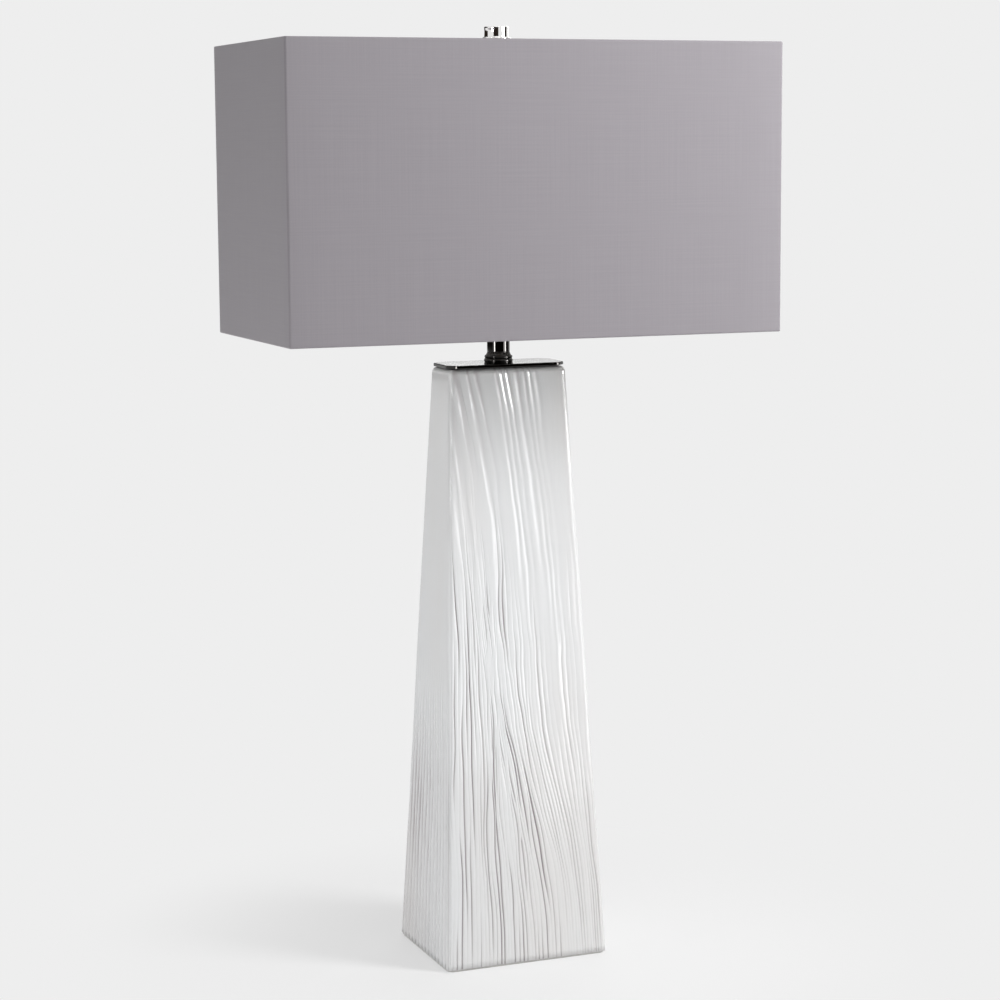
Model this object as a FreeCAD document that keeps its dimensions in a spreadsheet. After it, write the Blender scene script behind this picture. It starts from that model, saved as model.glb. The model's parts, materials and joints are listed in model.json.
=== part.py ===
"""Column table lamp: a tapered, glazed ceramic column with a metal top plate and neck, a
socket with a turn switch and bulb, a harp, and a rectangular hardback shade held by a finial.

Millimetres, +Z up. The origin is the middle of the felt base on the table, +X runs along
the shade's long side and -Y is the front.
"""
import FreeCAD
import Part
import math
import os
import re

import Sketcher

V = FreeCAD.Vector

# ---------------------------------------------------------------- driving dimensions
SIZES = {
    # column and what closes its foot
    "felt_thick": 2.0, "felt_inset": 1.5,
    "column_height": 535.5, "foot_width": 156.0, "foot_depth": 128.0,
    "head_width": 112.0, "head_depth": 48.0, "corner_radius": 6.0, "shoulder_radius": 5.0,
    "column_wall": 8.0, "deck_thick": 9.0, "rebate_height": 22.0, "rebate_width": 3.0,
    "base_plate_thick": 2.0, "base_plate_play": 0.4,
    # threaded lamp pipe and its lower fastening
    "pipe_radius": 5.1, "pipe_bore": 3.75, "pipe_play": 0.25, "pipe_tail": 2.0,
    "washer_radius": 19.0, "washer_thick": 1.6, "lock_radius": 9.0, "lock_thick": 1.8,
    "lock_split": 1.2, "foot_nut_flats": 16.0, "foot_nut_height": 5.0,
    # cord inlet bushing in the back of the foot
    "inlet_height": 12.0, "inlet_bore": 4.0, "inlet_barrel": 5.5, "inlet_lip": 7.2,
    "inlet_lip_thick": 1.6, "inlet_snap": 6.1, "inlet_snap_thick": 1.8, "inlet_play": 0.3,
    # top plate and neck
    "gasket_thick": 0.6, "gasket_radius": 17.0,
    "plate_width": 113.0, "plate_depth": 50.0, "plate_clip": 8.0, "plate_thick": 3.0,
    "plate_chamfer": 0.5,
    "collar_radius": 12.9, "collar_groove": 0.7, "collar_ring": 3.6, "collar_bead": 3.2,
    "collar_cove": 3.0, "neck_radius": 10.2, "neck_wall": 1.3, "neck_height": 48.0,
    # saddle and harp
    "neck_ring_radius": 11.4, "neck_ring_thick": 1.6,
    "saddle_thick": 1.8, "saddle_width": 12.0, "saddle_span": 58.0, "saddle_arm": 9.0,
    "tab_width": 3.0, "tab_height": 8.0, "harp_nut_flats": 15.0, "harp_nut_height": 3.5,
    "harp_wire": 1.7, "harp_height": 214.0, "harp_half": 57.0, "leg_straight": 30.0,
    "shoulder_rise": 60.0, "crown_bend": 48.0, "crown_width": 9.0,
    "crown_thick": 2.6, "crown_reach": 19.0,
    "ferrule_bore": 2.1, "ferrule_radius": 3.6, "ferrule_length": 16.0,
    # stud in the harp's crown
    "stud_shank": 2.6, "stud_play": 0.25, "stud_head": 4.4, "stud_head_thick": 1.2,
    "seat_radius": 8.5, "seat_thick": 2.4, "stud_thread": 3.1, "stud_length": 12.0,
    # socket
    "cap_hub_radius": 8.6, "cap_hub_height": 7.0, "cap_radius": 19.8, "cap_height": 22.0,
    "cap_wall": 0.8, "cap_dome": 9.0, "pipe_entry": 6.0, "shell_play": 0.15, "shell_wall": 0.7, "shell_height": 44.0,
    "shell_overlap": 5.0, "shell_bead": 0.8, "sleeve_wall": 0.8, "sleeve_short": 1.5,
    "body_radius": 15.6, "body_height": 26.0, "body_foot": 7.0, "body_foot_height": 9.0,
    "shell_screw_wall": 0.5, "shell_screw_height": 25.0, "contact_radius": 4.0,
    "contact_thick": 1.2, "terminal_radius": 2.6, "terminal_head": 1.4, "terminal_shank": 1.5,
    "terminal_length": 5.0, "set_screw_radius": 1.6, "set_screw_length": 4.0,
    # switch key
    "key_rise": 19.0, "key_shaft": 2.3, "key_depth": 9.0, "key_play": 0.4,
    "knob_radius": 6.4, "knob_length": 13.0, "knob_gap": 3.0, "knob_web": 4.4,
    "knob_collar": 4.0,
    # bulb
    "bulb_thread": 13.1, "bulb_play": 0.35, "bulb_cap_height": 23.0, "bulb_cap_wall": 0.5,
    "bulb_radius": 30.0, "bulb_centre": 50.0, "bulb_flare": 40.0, "bulb_glass": 0.9,
    "bulb_seat": 8.0,
    "bulb_tip": 4.6, "bulb_tip_thick": 1.4, "bulb_base_thick": 1.6, "stem_radius": 5.0,
    "stem_height": 30.0, "stem_foot_thick": 1.5, "lead_wire": 0.4, "lead_spread": 11.0,
    "lead_rise": 13.0,
    # shade
    "shade_width": 457.2, "shade_depth": 216.0, "shade_height": 254.0, "spider_drop": 12.5,
    "cover_thick": 0.7, "liner_thick": 1.0, "shade_corner": 2.2,
    "frame_wire": 1.5, "frame_corner": 5.0, "hub_radius": 14.0, "hub_thick": 1.6,
    "hub_play": 0.1, "hub_hole_play": 0.3, "arm_start": 9.5, "arm_flat": 24.0,
    # finial
    "finial_foot": 7.4, "finial_foot_thick": 2.4, "finial_stem": 5.8, "finial_neck_rise": 13.5,
    "finial_flange": 12.2, "finial_flange_rise": 17.0, "finial_flange_thick": 1.6,
    "finial_radius": 10.8, "finial_waist": 36.0, "finial_height": 28.0, "finial_edge": 0.8,
    "insert_radius": 4.4, "insert_depth": 14.0, "thread_play": 0.15,
}

doc = FreeCAD.newDocument("ColumnTableLamp")
sheet = doc.addObject("Spreadsheet::Sheet", "Sizes")
for row, (alias, number) in enumerate(SIZES.items(), start=1):
    sheet.set(f"A{row}", str(number))
    sheet.setAlias(f"A{row}", alias)
doc.recompute()


def bound(text):
    """A formula over the sheet's names, as an expression that reads the sheet."""
    return re.sub(r"[a-z]\w*_\w+", lambda m: f"Sizes.{m.group(0)}", text)


def value(text):
    """The number that a formula over the sheet's names gives now."""
    found = sheet.evalExpression(bound(text))
    return float(getattr(found, "Value", found))


# ---------------------------------------------------------------- levels, from the table up
COLUMN_TOP = "(felt_thick + column_height)"
LEDGE = "(felt_thick + rebate_height)"
BASE_PLATE_LOW = f"({LEDGE} - base_plate_thick)"
WASHER_LOW = f"({BASE_PLATE_LOW} - washer_thick)"
LOCK_LOW = f"({WASHER_LOW} - lock_thick)"
FOOT_NUT_LOW = f"({LOCK_LOW} - foot_nut_height)"
PIPE_LOW = f"({FOOT_NUT_LOW} - pipe_tail)"
PLATE_LOW = f"({COLUMN_TOP} + gasket_thick)"
PLATE_TOP = f"({PLATE_LOW} + plate_thick)"
SADDLE_LOW = f"({PLATE_TOP} + neck_height)"
SADDLE_TOP = f"({SADDLE_LOW} + saddle_thick)"
CAP_LOW = f"({SADDLE_TOP} + harp_nut_height)"
CAP_TOP = f"({CAP_LOW} + cap_height)"
SHELL_LOW = f"({CAP_TOP} - shell_overlap)"
SHELL_TOP = f"({SHELL_LOW} + shell_height)"
BODY_LOW = f"({CAP_LOW} + cap_hub_height + cap_wall)"
BODY_TOP = f"({BODY_LOW} + body_height)"
KEY_LEVEL = f"({BODY_LOW} + key_rise)"
CONTACT_TOP = f"({BODY_TOP} + contact_thick)"
TIP_LOW = f"({CONTACT_TOP} + bulb_play)"
BULB_CAP_LOW = f"({TIP_LOW} + bulb_tip_thick + bulb_base_thick)"
BULB_CAP_TOP = f"({BULB_CAP_LOW} + bulb_cap_height)"
NECK_RING_LOW = f"({SADDLE_LOW} - neck_ring_thick)"
COLLAR_TOP = f"({PLATE_TOP} + collar_ring + collar_bead + collar_cove)"
ARM_TOP = f"({SADDLE_LOW} + saddle_arm)"
LEG_LOW = f"({ARM_TOP} + tab_height)"
CROWN_LOW = f"({SADDLE_LOW} + harp_height)"
CROWN_TOP = f"({CROWN_LOW} + crown_thick)"
SEAT_LOW = f"({CROWN_TOP} + stud_play)"
SEAT_TOP = f"({SEAT_LOW} + seat_thick)"
HUB_LOW = f"({SEAT_TOP} + hub_play)"
HUB_TOP = f"({HUB_LOW} + hub_thick)"
SHADE_TOP = f"({HUB_TOP} + spider_drop)"
SHADE_LOW = f"({SHADE_TOP} - shade_height)"
FINIAL_LOW = f"({HUB_TOP} + hub_play)"

# radii and insets that several pieces share
PIPE_HOLE = "(pipe_radius + pipe_play)"
SHELL_RADIUS = "(cap_radius - cap_wall - shell_play)"
SLEEVE_RADIUS = f"({SHELL_RADIUS} - shell_wall - shell_play)"
SCREW_SHELL_BORE = "(bulb_thread + bulb_play)"
WIRE_INSET = "(cover_thick + liner_thick + frame_wire)"
KEY_HOLE = "(key_shaft + key_play)"
KNOB_START = f"({SHELL_RADIUS} + knob_gap)"
BACK_SLOPE = "atan((foot_depth - head_depth) / 2 / column_height)"
BACK_FACE = "(foot_depth/2 - inlet_height * (foot_depth - head_depth) / 2 / column_height)"


def taper(side, down):
    """The column's outer width or depth at a distance below its top."""
    return f"head_{side} + (foot_{side} - head_{side}) * {down} / column_height"


# ---------------------------------------------------------------- making a body
def new_body(label):
    """An empty body whose label names the piece."""
    body = doc.addObject("PartDesign::Body", label)
    body.Label = label
    return body


def plane(body, role):
    """One of the body's own origin planes."""
    return next(f for f in body.Origin.OriginFeatures if f.Role == role)


def new_sketch(body, name, role="XY_Plane", offset="0"):
    """A sketch on an origin plane of its body, moved along the plane's normal."""
    sketch = body.newObject("Sketcher::SketchObject", name)
    sketch.AttachmentSupport = (plane(body, role), [""])
    sketch.MapMode = "FlatFace"
    if offset != "0":
        sketch.setExpression("AttachmentOffset.Base.z", bound(offset))
    return sketch


def hold(sketch, kind, geometry, end, formula):
    """Fixes one coordinate of a line's or arc's end to a formula."""
    number = value(formula)
    if abs(number) < 1e-9:
        axis = -2 if kind == "DistanceX" else -1
        sketch.addConstraint(Sketcher.Constraint("PointOnObject", geometry, end, axis))
        return
    index = sketch.addConstraint(Sketcher.Constraint(kind, geometry, end, number))
    sketch.setExpression(f"Constraints[{index}]", bound(formula))


def bulged(start, end, radius, side):
    """The middle of an arc between two points; side 1 bulges to the right of the way."""
    chord = end - start
    across = V(chord.y, -chord.x, 0).normalize() * side
    rise = radius - math.sqrt(max(radius ** 2 - (chord.Length / 2) ** 2, 0.0))
    return (start + end) / 2 + across * rise


def outline(sketch, points):
    """A closed outline. A point is (x, y), or (x, y, radius, side) where an arc ends there."""
    places = [V(value(p[0]), value(p[1]), 0) for p in points]
    count = len(points)
    first = sketch.GeometryCount
    arcs = {}
    for i in range(count):
        start, end, mark = places[i], places[(i + 1) % count], points[(i + 1) % count]
        if len(mark) > 2:
            middle = bulged(start, end, value(mark[2]), mark[3])
            arcs[i] = sketch.addGeometry(Part.Arc(start, middle, end), False)
        else:
            sketch.addGeometry(Part.LineSegment(start, end), False)
    # an arc that runs clockwise is stored the other way round, so its ends are looked up
    ends = {}
    for i in range(count):
        start = sketch.getPoint(first + i, 1)
        ends[i] = (1, 2) if start.distanceToPoint(places[i]) < 1e-6 else (2, 1)
    for i in range(count):
        after = (i + 1) % count
        sketch.addConstraint(Sketcher.Constraint(
            "Coincident", first + i, ends[i][1], first + after, ends[after][0]))
    for i in range(count):
        hold(sketch, "DistanceX", first + i, ends[i][0], points[i][0])
        hold(sketch, "DistanceY", first + i, ends[i][0], points[i][1])
    for i, geometry in arcs.items():
        radius = points[(i + 1) % count][2]
        index = sketch.addConstraint(Sketcher.Constraint("Radius", geometry, value(radius)))
        sketch.setExpression(f"Constraints[{index}]", bound(radius))


def circle(sketch, radius, x="0", y="0"):
    """A full circle."""
    centre = V(value(x), value(y), 0)
    index = sketch.addGeometry(Part.Circle(centre, V(0, 0, 1), value(radius)), False)
    hold(sketch, "DistanceX", index, 3, x)
    hold(sketch, "DistanceY", index, 3, y)
    size = sketch.addConstraint(Sketcher.Constraint("Radius", index, value(radius)))
    sketch.setExpression(f"Constraints[{size}]", bound(radius))


def rectangle(sketch, width, depth, x="0", y="0"):
    """A plain rectangle round (x, y)."""
    outline(sketch, [(f"{x} + {sx}*({width})/2", f"{y} + {sy}*({depth})/2")
                     for sx, sy in ((-1, -1), (1, -1), (1, 1), (-1, 1))])


def rounded(sketch, width, depth, radius):
    """A rectangle about the origin with rounded corners."""
    w, d, r = f"({width})/2", f"({depth})/2", f"({radius})"
    outline(sketch, [
        (f"-{w} + {r}", f"-{d}", r, 1), (f"{w} - {r}", f"-{d}"),
        (w, f"-{d} + {r}", r, 1), (w, f"{d} - {r}"),
        (f"{w} - {r}", d, r, 1), (f"-{w} + {r}", d),
        (f"-{w}", f"{d} - {r}", r, 1), (f"-{w}", f"-{d} + {r}")])


def open_path(sketch, points):
    """A chain of lines and arcs that stays open, with points as in outline()."""
    places = [V(value(p[0]), value(p[1]), 0) for p in points]
    ends = []
    for i in range(len(points) - 1):
        start, end, mark = places[i], places[i + 1], points[i + 1]
        if len(mark) > 2:
            middle = bulged(start, end, value(mark[2]), mark[3])
            sketch.addGeometry(Part.Arc(start, middle, end), False)
        else:
            sketch.addGeometry(Part.LineSegment(start, end), False)
        begins = sketch.getPoint(i, 1).distanceToPoint(start) < 1e-6
        ends.append((1, 2) if begins else (2, 1))
        if i:
            sketch.addConstraint(Sketcher.Constraint(
                "Coincident", i - 1, ends[i - 1][1], i, ends[i][0]))
    for i, point in enumerate(points):
        geometry, end = (i, ends[i][0]) if i < len(ends) else (i - 1, ends[-1][1])
        hold(sketch, "DistanceX", geometry, end, point[0])
        hold(sketch, "DistanceY", geometry, end, point[1])
        if i and len(point) > 2:
            index = sketch.addConstraint(
                Sketcher.Constraint("Radius", i - 1, value(point[2])))
            sketch.setExpression(f"Constraints[{index}]", bound(point[2]))


def pad(body, sketch, length, both_ways=False, reverse=False, name="Pad"):
    """Material along the sketch's normal."""
    feature = body.newObject("PartDesign::Pad", name)
    feature.Profile = sketch
    feature.setExpression("Length", bound(length))
    feature.Midplane = both_ways
    feature.Reversed = reverse
    sketch.Visibility = False
    return feature


def pocket(body, sketch, length, both_ways=False, reverse=False, name="Pocket"):
    """A cut against the sketch's normal, or along it when reversed."""
    feature = body.newObject("PartDesign::Pocket", name)
    feature.Profile = sketch
    feature.setExpression("Length", bound(length))
    feature.Midplane = both_ways
    feature.Reversed = reverse
    sketch.Visibility = False
    return feature


def bore(body, sketch, name="Bore"):
    """A cut through everything, both ways."""
    feature = body.newObject("PartDesign::Pocket", name)
    feature.Profile = sketch
    feature.Type = "ThroughAll"
    feature.Midplane = True
    sketch.Visibility = False
    return feature


def turned(label, points, role="XZ_Plane", axis="V_Axis"):
    """A body turned from a half section, given as (radius, height) about the Z axis."""
    body = new_body(label)
    sketch = new_sketch(body, "HalfSection", role)
    outline(sketch, points)
    feature = body.newObject("PartDesign::Revolution", "Turn")
    feature.Profile = sketch
    feature.ReferenceAxis = (sketch, [axis])
    feature.Angle = 360.0
    sketch.Visibility = False
    return body


def disc(label, radius, hole, low, thick):
    """A flat ring, as a body."""
    body = new_body(label)
    sketch = new_sketch(body, "Ring", offset=low)
    circle(sketch, radius)
    circle(sketch, hole)
    pad(body, sketch, thick)
    return body


def hexagon(label, flats, hole, low, height):
    """A hexagonal nut with a plain bore and its two outer faces lightly turned off."""
    body = new_body(label)
    sketch = new_sketch(body, "Hexagon", offset=low)
    half, tall = f"({flats})/2", f"({flats})/2/cos(30)"
    outline(sketch, [(tall, "0"), (f"{tall}/2", half), (f"-{tall}/2", half),
                     (f"-{tall}", "0"), (f"-{tall}/2", f"-{half}"), (f"{tall}/2", f"-{half}")])
    circle(sketch, hole)
    pad(body, sketch, height)
    trim = new_sketch(body, "CornerTrim", "XZ_Plane")
    outline(trim, [(f"{half}", f"{low} + {height}"),
                   (f"{tall} + 1", f"{low} + {height} - ({tall} + 1 - {half})*0.5"),
                   (f"{tall} + 1", f"{low} + {height}")])
    groove = body.newObject("PartDesign::Groove", "Chamfer")
    groove.Profile = trim
    groove.ReferenceAxis = (trim, ["V_Axis"])
    groove.Angle = 360.0
    trim.Visibility = False
    return body


def loft(body, first, others, kind, name):
    """A loft through sketches, added or cut away."""
    feature = body.newObject(f"PartDesign::{kind}Loft", name)
    feature.Profile = first
    feature.Sections = others
    feature.Ruled = False
    for sketch in [first] + others:
        sketch.Visibility = False
    return feature


def swept(body, profile, spine, name="Sweep", corner="Transformed"):
    """A profile carried along a path."""
    feature = body.newObject("PartDesign::AdditivePipe", name)
    feature.Profile = profile
    feature.Spine = spine
    feature.Transition = corner
    profile.Visibility = False
    spine.Visibility = False
    return feature


def rim_edges(feature, height, inside=0.0):
    """Names of the edges that lie wholly at one height and outside a radius."""
    names = []
    for index, edge in enumerate(feature.Shape.Edges, start=1):
        box = edge.BoundBox
        level = abs(box.ZMin - height) < 1e-4 and abs(box.ZMax - height) < 1e-4
        middle = edge.CenterOfMass
        if level and math.hypot(middle.x, middle.y) > inside:
            names.append(f"Edge{index}")
    return names


def broken_rim(body, feature, height, size, inside=0.0, name="BrokenRim"):
    """A chamfer on the edges at one height."""
    doc.recompute()
    chamfer = body.newObject("PartDesign::Chamfer", name)
    chamfer.Base = (feature, rim_edges(feature, value(height), inside))
    chamfer.setExpression("Size", bound(size))
    return chamfer


# ---------------------------------------------------------------- felt under the foot
base_felt = new_body("base_felt")
felt_shape = new_sketch(base_felt, "FeltShape")
rounded(felt_shape, "foot_width - 2*felt_inset", "foot_depth - 2*felt_inset", "corner_radius")
pad(base_felt, felt_shape, "felt_thick")

# ---------------------------------------------------------------- ceramic column
column = new_body("column")
SHOULDER_WIDE = f"({taper('width', 'shoulder_radius')})"
SHOULDER_DEEP = f"({taper('depth', 'shoulder_radius')})"
foot = new_sketch(column, "Foot", offset="felt_thick")
rounded(foot, "foot_width", "foot_depth", "corner_radius")
shoulder = [new_sketch(column, "ShoulderLow", offset=f"{COLUMN_TOP} - shoulder_radius")]
rounded(shoulder[0], SHOULDER_WIDE, SHOULDER_DEEP, "corner_radius")
loft(column, foot, shoulder, "Additive", "Walls")
# the shoulder is a quarter round, carried through sections at 30, 60 and 90 degrees
shoulder = [new_sketch(column, "ShoulderFoot", offset=f"{COLUMN_TOP} - shoulder_radius")]
rounded(shoulder[0], SHOULDER_WIDE, SHOULDER_DEEP, "corner_radius")
for name, drop, inset in (("ShoulderMiddle", "0.5", "0.134"), ("ShoulderHigh", "0.134", "0.5"),
                          ("ShoulderTop", "0", "0.9")):
    section = new_sketch(column, name, offset=f"{COLUMN_TOP} - {drop}*shoulder_radius")
    rounded(section, f"{SHOULDER_WIDE} - 2*{inset}*shoulder_radius",
            f"{SHOULDER_DEEP} - 2*{inset}*shoulder_radius",
            f"corner_radius - {inset}*shoulder_radius")
    shoulder.append(section)
loft(column, shoulder[0], shoulder[1:], "Additive", "Shoulder")
cavity_foot = new_sketch(column, "CavityFoot", offset="felt_thick")
rounded(cavity_foot, "foot_width - 2*column_wall", "foot_depth - 2*column_wall", "corner_radius")
cavity_head = new_sketch(column, "CavityHead", offset=f"{COLUMN_TOP} - deck_thick")
rounded(cavity_head, f"{taper('width', 'deck_thick')} - 2*column_wall",
        f"{taper('depth', 'deck_thick')} - 2*column_wall", "corner_radius")
loft(column, cavity_foot, [cavity_head], "Subtractive", "Cavity")
rebate = new_sketch(column, "Rebate", offset="felt_thick")
rounded(rebate, "foot_width - 2*(column_wall - rebate_width)",
        "foot_depth - 2*(column_wall - rebate_width)", "corner_radius")
pocket(column, rebate, "rebate_height", reverse=True, name="BasePlateRebate")
deck_hole = new_sketch(column, "DeckHole", offset=COLUMN_TOP)
circle(deck_hole, PIPE_HOLE)
pocket(column, deck_hole, "2*deck_thick", name="PipeHole")
cord_hole = column.newObject("PartDesign::SubtractiveCylinder", "CordHole")
cord_hole.AttachmentSupport = (plane(column, "XY_Plane"), [""])
cord_hole.MapMode = "FlatFace"
cord_hole.setExpression("Radius", bound("inlet_barrel + inlet_play"))
cord_hole.setExpression("Height", bound("3*column_wall"))
cord_hole.AttachmentOffset = FreeCAD.Placement(
    V(0, 0, 0), FreeCAD.Rotation(V(-1, 0, 0), 80))
cord_hole.setExpression("AttachmentOffset.Base.y", bound(f"{BACK_FACE} - 2*column_wall"))
cord_hole.setExpression("AttachmentOffset.Base.z",
                        bound(f"felt_thick + inlet_height - 2*column_wall*tan({BACK_SLOPE})"))
cord_hole.setExpression("AttachmentOffset.Rotation.Angle", bound(f"90 deg - {BACK_SLOPE}"))

# ---------------------------------------------------------------- steel plate in the foot
base_plate = new_body("base_plate")
plate_shape = new_sketch(base_plate, "PlateShape", offset=BASE_PLATE_LOW)
rounded(plate_shape, "foot_width - 2*(column_wall - rebate_width + base_plate_play)",
        "foot_depth - 2*(column_wall - rebate_width + base_plate_play)",
        "corner_radius - base_plate_play")
circle(plate_shape, PIPE_HOLE)
pad(base_plate, plate_shape, "base_plate_thick")

# ---------------------------------------------------------------- cord inlet bushing
inlet_bushing = turned("inlet_bushing", [
    ("inlet_bore", "-(column_wall - rebate_width) - inlet_snap_thick - 1.4"),
    ("inlet_snap - 0.8", "-(column_wall - rebate_width) - inlet_snap_thick - 1.4"),
    ("inlet_snap", "-(column_wall - rebate_width) - 1.4"),
    ("inlet_barrel", "-(column_wall - rebate_width) - 1.0"),
    ("inlet_barrel", "0"), ("inlet_lip", "0"), ("inlet_lip", "inlet_lip_thick - 0.8"),
    ("inlet_lip - 0.8", "inlet_lip_thick"), ("inlet_bore + 0.6", "inlet_lip_thick"),
    ("inlet_bore", "inlet_lip_thick - 0.6")])
inlet_bushing.Placement = FreeCAD.Placement(V(0, 0, 0), FreeCAD.Rotation(V(-1, 0, 0), 80))
inlet_bushing.setExpression("Placement.Base.y", bound(BACK_FACE))
inlet_bushing.setExpression("Placement.Base.z", bound("felt_thick + inlet_height"))
inlet_bushing.setExpression("Placement.Rotation.Angle", bound(f"90 deg - {BACK_SLOPE}"))

# ---------------------------------------------------------------- pipe and its lower fastening
lamp_pipe = disc("lamp_pipe", "pipe_radius", "pipe_bore", PIPE_LOW,
                 f"{CAP_LOW} + pipe_entry - {PIPE_LOW}")
foot_washer = disc("foot_washer", "washer_radius", PIPE_HOLE, WASHER_LOW, "washer_thick")
foot_lock_washer = disc("foot_lock_washer", "lock_radius", PIPE_HOLE, LOCK_LOW, "lock_thick")
split = new_sketch(foot_lock_washer, "Split", offset=LOCK_LOW)
rectangle(split, "lock_radius", "lock_split", x="lock_radius")
pocket(foot_lock_washer, split, "3*lock_thick", both_ways=True, name="SplitCut")
foot_nut = hexagon("foot_nut", "foot_nut_flats", "pipe_radius", FOOT_NUT_LOW, "foot_nut_height")

# ---------------------------------------------------------------- top plate and neck
plate_gasket = disc("plate_gasket", "gasket_radius", PIPE_HOLE, COLUMN_TOP, "gasket_thick")

top_plate = new_body("top_plate")
clipped = new_sketch(top_plate, "ClippedShape", offset=PLATE_LOW)
clip_x, clip_y = "plate_width/2", "plate_depth/2"
outline(clipped, [
    (f"-{clip_x} + plate_clip", f"-{clip_y}"), (f"{clip_x} - plate_clip", f"-{clip_y}"),
    (clip_x, f"-{clip_y} + plate_clip"), (clip_x, f"{clip_y} - plate_clip"),
    (f"{clip_x} - plate_clip", clip_y), (f"-{clip_x} + plate_clip", clip_y),
    (f"-{clip_x}", f"{clip_y} - plate_clip"), (f"-{clip_x}", f"-{clip_y} + plate_clip")])
circle(clipped, PIPE_HOLE)
slab = pad(top_plate, clipped, "plate_thick")
broken_rim(top_plate, slab, PLATE_TOP, "plate_chamfer", inside=20.0)

COLLAR_BEAD_LOW = f"({PLATE_TOP} + collar_ring)"
COLLAR_COVE_LOW = f"({COLLAR_BEAD_LOW} + collar_bead)"
neck_collar = turned("neck_collar", [
    (PIPE_HOLE, PLATE_TOP), ("collar_radius", PLATE_TOP),
    ("collar_radius", f"{COLLAR_BEAD_LOW} - collar_groove", "collar_ring", 1),
    ("collar_radius - collar_groove", COLLAR_BEAD_LOW),
    ("collar_radius - collar_groove", COLLAR_COVE_LOW, "collar_bead*0.7", 1),
    ("neck_radius", COLLAR_TOP, "collar_cove*1.4", -1),
    (PIPE_HOLE, COLLAR_TOP)])
neck_tube = disc("neck_tube", "neck_radius", "neck_radius - neck_wall", COLLAR_TOP,
                 f"{NECK_RING_LOW} - {COLLAR_TOP}")
neck_ring = disc("neck_ring", "neck_ring_radius", PIPE_HOLE, NECK_RING_LOW, "neck_ring_thick")

# ---------------------------------------------------------------- saddle, its nut and the harp
saddle = new_body("saddle")
bent = new_sketch(saddle, "BentStrip", "XZ_Plane")
outline(bent, [
    ("-saddle_span/2 - saddle_thick/2", SADDLE_LOW), ("saddle_span/2 + saddle_thick/2", SADDLE_LOW),
    ("saddle_span/2 + saddle_thick/2", ARM_TOP), ("saddle_span/2 - saddle_thick/2", ARM_TOP),
    ("saddle_span/2 - saddle_thick/2", SADDLE_TOP), ("-saddle_span/2 + saddle_thick/2", SADDLE_TOP),
    ("-saddle_span/2 + saddle_thick/2", ARM_TOP), ("-saddle_span/2 - saddle_thick/2", ARM_TOP)])
pad(saddle, bent, "saddle_width", both_ways=True)
tabs = new_sketch(saddle, "Tabs", offset=ARM_TOP)
for side in ("-", ""):
    rectangle(tabs, "saddle_thick", "tab_width", x=f"{side}saddle_span/2")
pad(saddle, tabs, "tab_height", name="TabPad")
saddle_hole = new_sketch(saddle, "PipeHoleShape", offset=SADDLE_LOW)
circle(saddle_hole, PIPE_HOLE)
pocket(saddle, saddle_hole, "4*saddle_thick", both_ways=True, name="PipeHole")

saddle_nut = hexagon("saddle_nut", "harp_nut_flats", "pipe_radius", SADDLE_TOP,
                     "harp_nut_height")

harp = new_body("harp")
leg_round = new_sketch(harp, "LegRound", offset=LEG_LOW)
circle(leg_round, "harp_wire", x="saddle_span/2")
leg_path = new_sketch(harp, "LegPath", "XZ_Plane")
SHOULDER_LOW = f"({LEG_LOW} + leg_straight)"
SHOULDER_SPAN = "(harp_half - saddle_span/2)"
SHOULDER_BEND = f"((shoulder_rise^2 + {SHOULDER_SPAN}^2) / (4*{SHOULDER_SPAN}))"
WIRE_TOP = f"({CROWN_LOW} + crown_thick/2)"
open_path(leg_path, [
    ("saddle_span/2", LEG_LOW), ("saddle_span/2", SHOULDER_LOW),
    (f"saddle_span/2 + {SHOULDER_SPAN}/2", f"{SHOULDER_LOW} + shoulder_rise/2",
     SHOULDER_BEND, -1),
    ("harp_half", f"{SHOULDER_LOW} + shoulder_rise", SHOULDER_BEND, 1),
    ("harp_half", f"{WIRE_TOP} - crown_bend"),
    ("harp_half - crown_bend", WIRE_TOP, "crown_bend", 1)])
half_harp = swept(harp, leg_round, leg_path, name="Leg")
other_half = harp.newObject("PartDesign::Mirrored", "OtherLeg")
other_half.Originals = [half_harp]
other_half.MirrorPlane = (plane(harp, "YZ_Plane"), [""])
harp.Tip = other_half
crown = new_sketch(harp, "Crown", offset=CROWN_LOW)
rounded(crown, "2*crown_reach", "crown_width", "crown_width*0.3")
pad(harp, crown, "crown_thick", name="CrownPad")
crown_hole = new_sketch(harp, "CrownHole", offset=CROWN_LOW)
circle(crown_hole, "stud_shank + stud_play")
pocket(harp, crown_hole, "4*crown_thick", both_ways=True, name="StudHole")

for side, name in (("-", "ferrule_left"), ("", "ferrule_right")):
    ferrule = new_body(name)
    ring = new_sketch(ferrule, "Ring", offset=ARM_TOP)
    circle(ring, "ferrule_radius", x=f"{side}saddle_span/2")
    circle(ring, "ferrule_bore", x=f"{side}saddle_span/2")
    pad(ferrule, ring, "ferrule_length")

harp_stud = turned("harp_stud", [
    ("0", f"{CROWN_LOW} - stud_play - stud_head_thick"),
    ("stud_head", f"{CROWN_LOW} - stud_play - stud_head_thick"),
    ("stud_head", f"{CROWN_LOW} - stud_play"), ("stud_shank", f"{CROWN_LOW} - stud_play"),
    ("stud_shank", SEAT_LOW), ("seat_radius - 0.4", SEAT_LOW),
    ("seat_radius", f"{SEAT_LOW} + 0.4"), ("seat_radius", f"{SEAT_TOP} - 0.4"),
    ("seat_radius - 0.4", SEAT_TOP), ("stud_thread", SEAT_TOP),
    ("stud_thread", f"{SEAT_TOP} + stud_length - 0.6"),
    ("stud_thread - 0.6", f"{SEAT_TOP} + stud_length"), ("0", f"{SEAT_TOP} + stud_length")])

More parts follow.
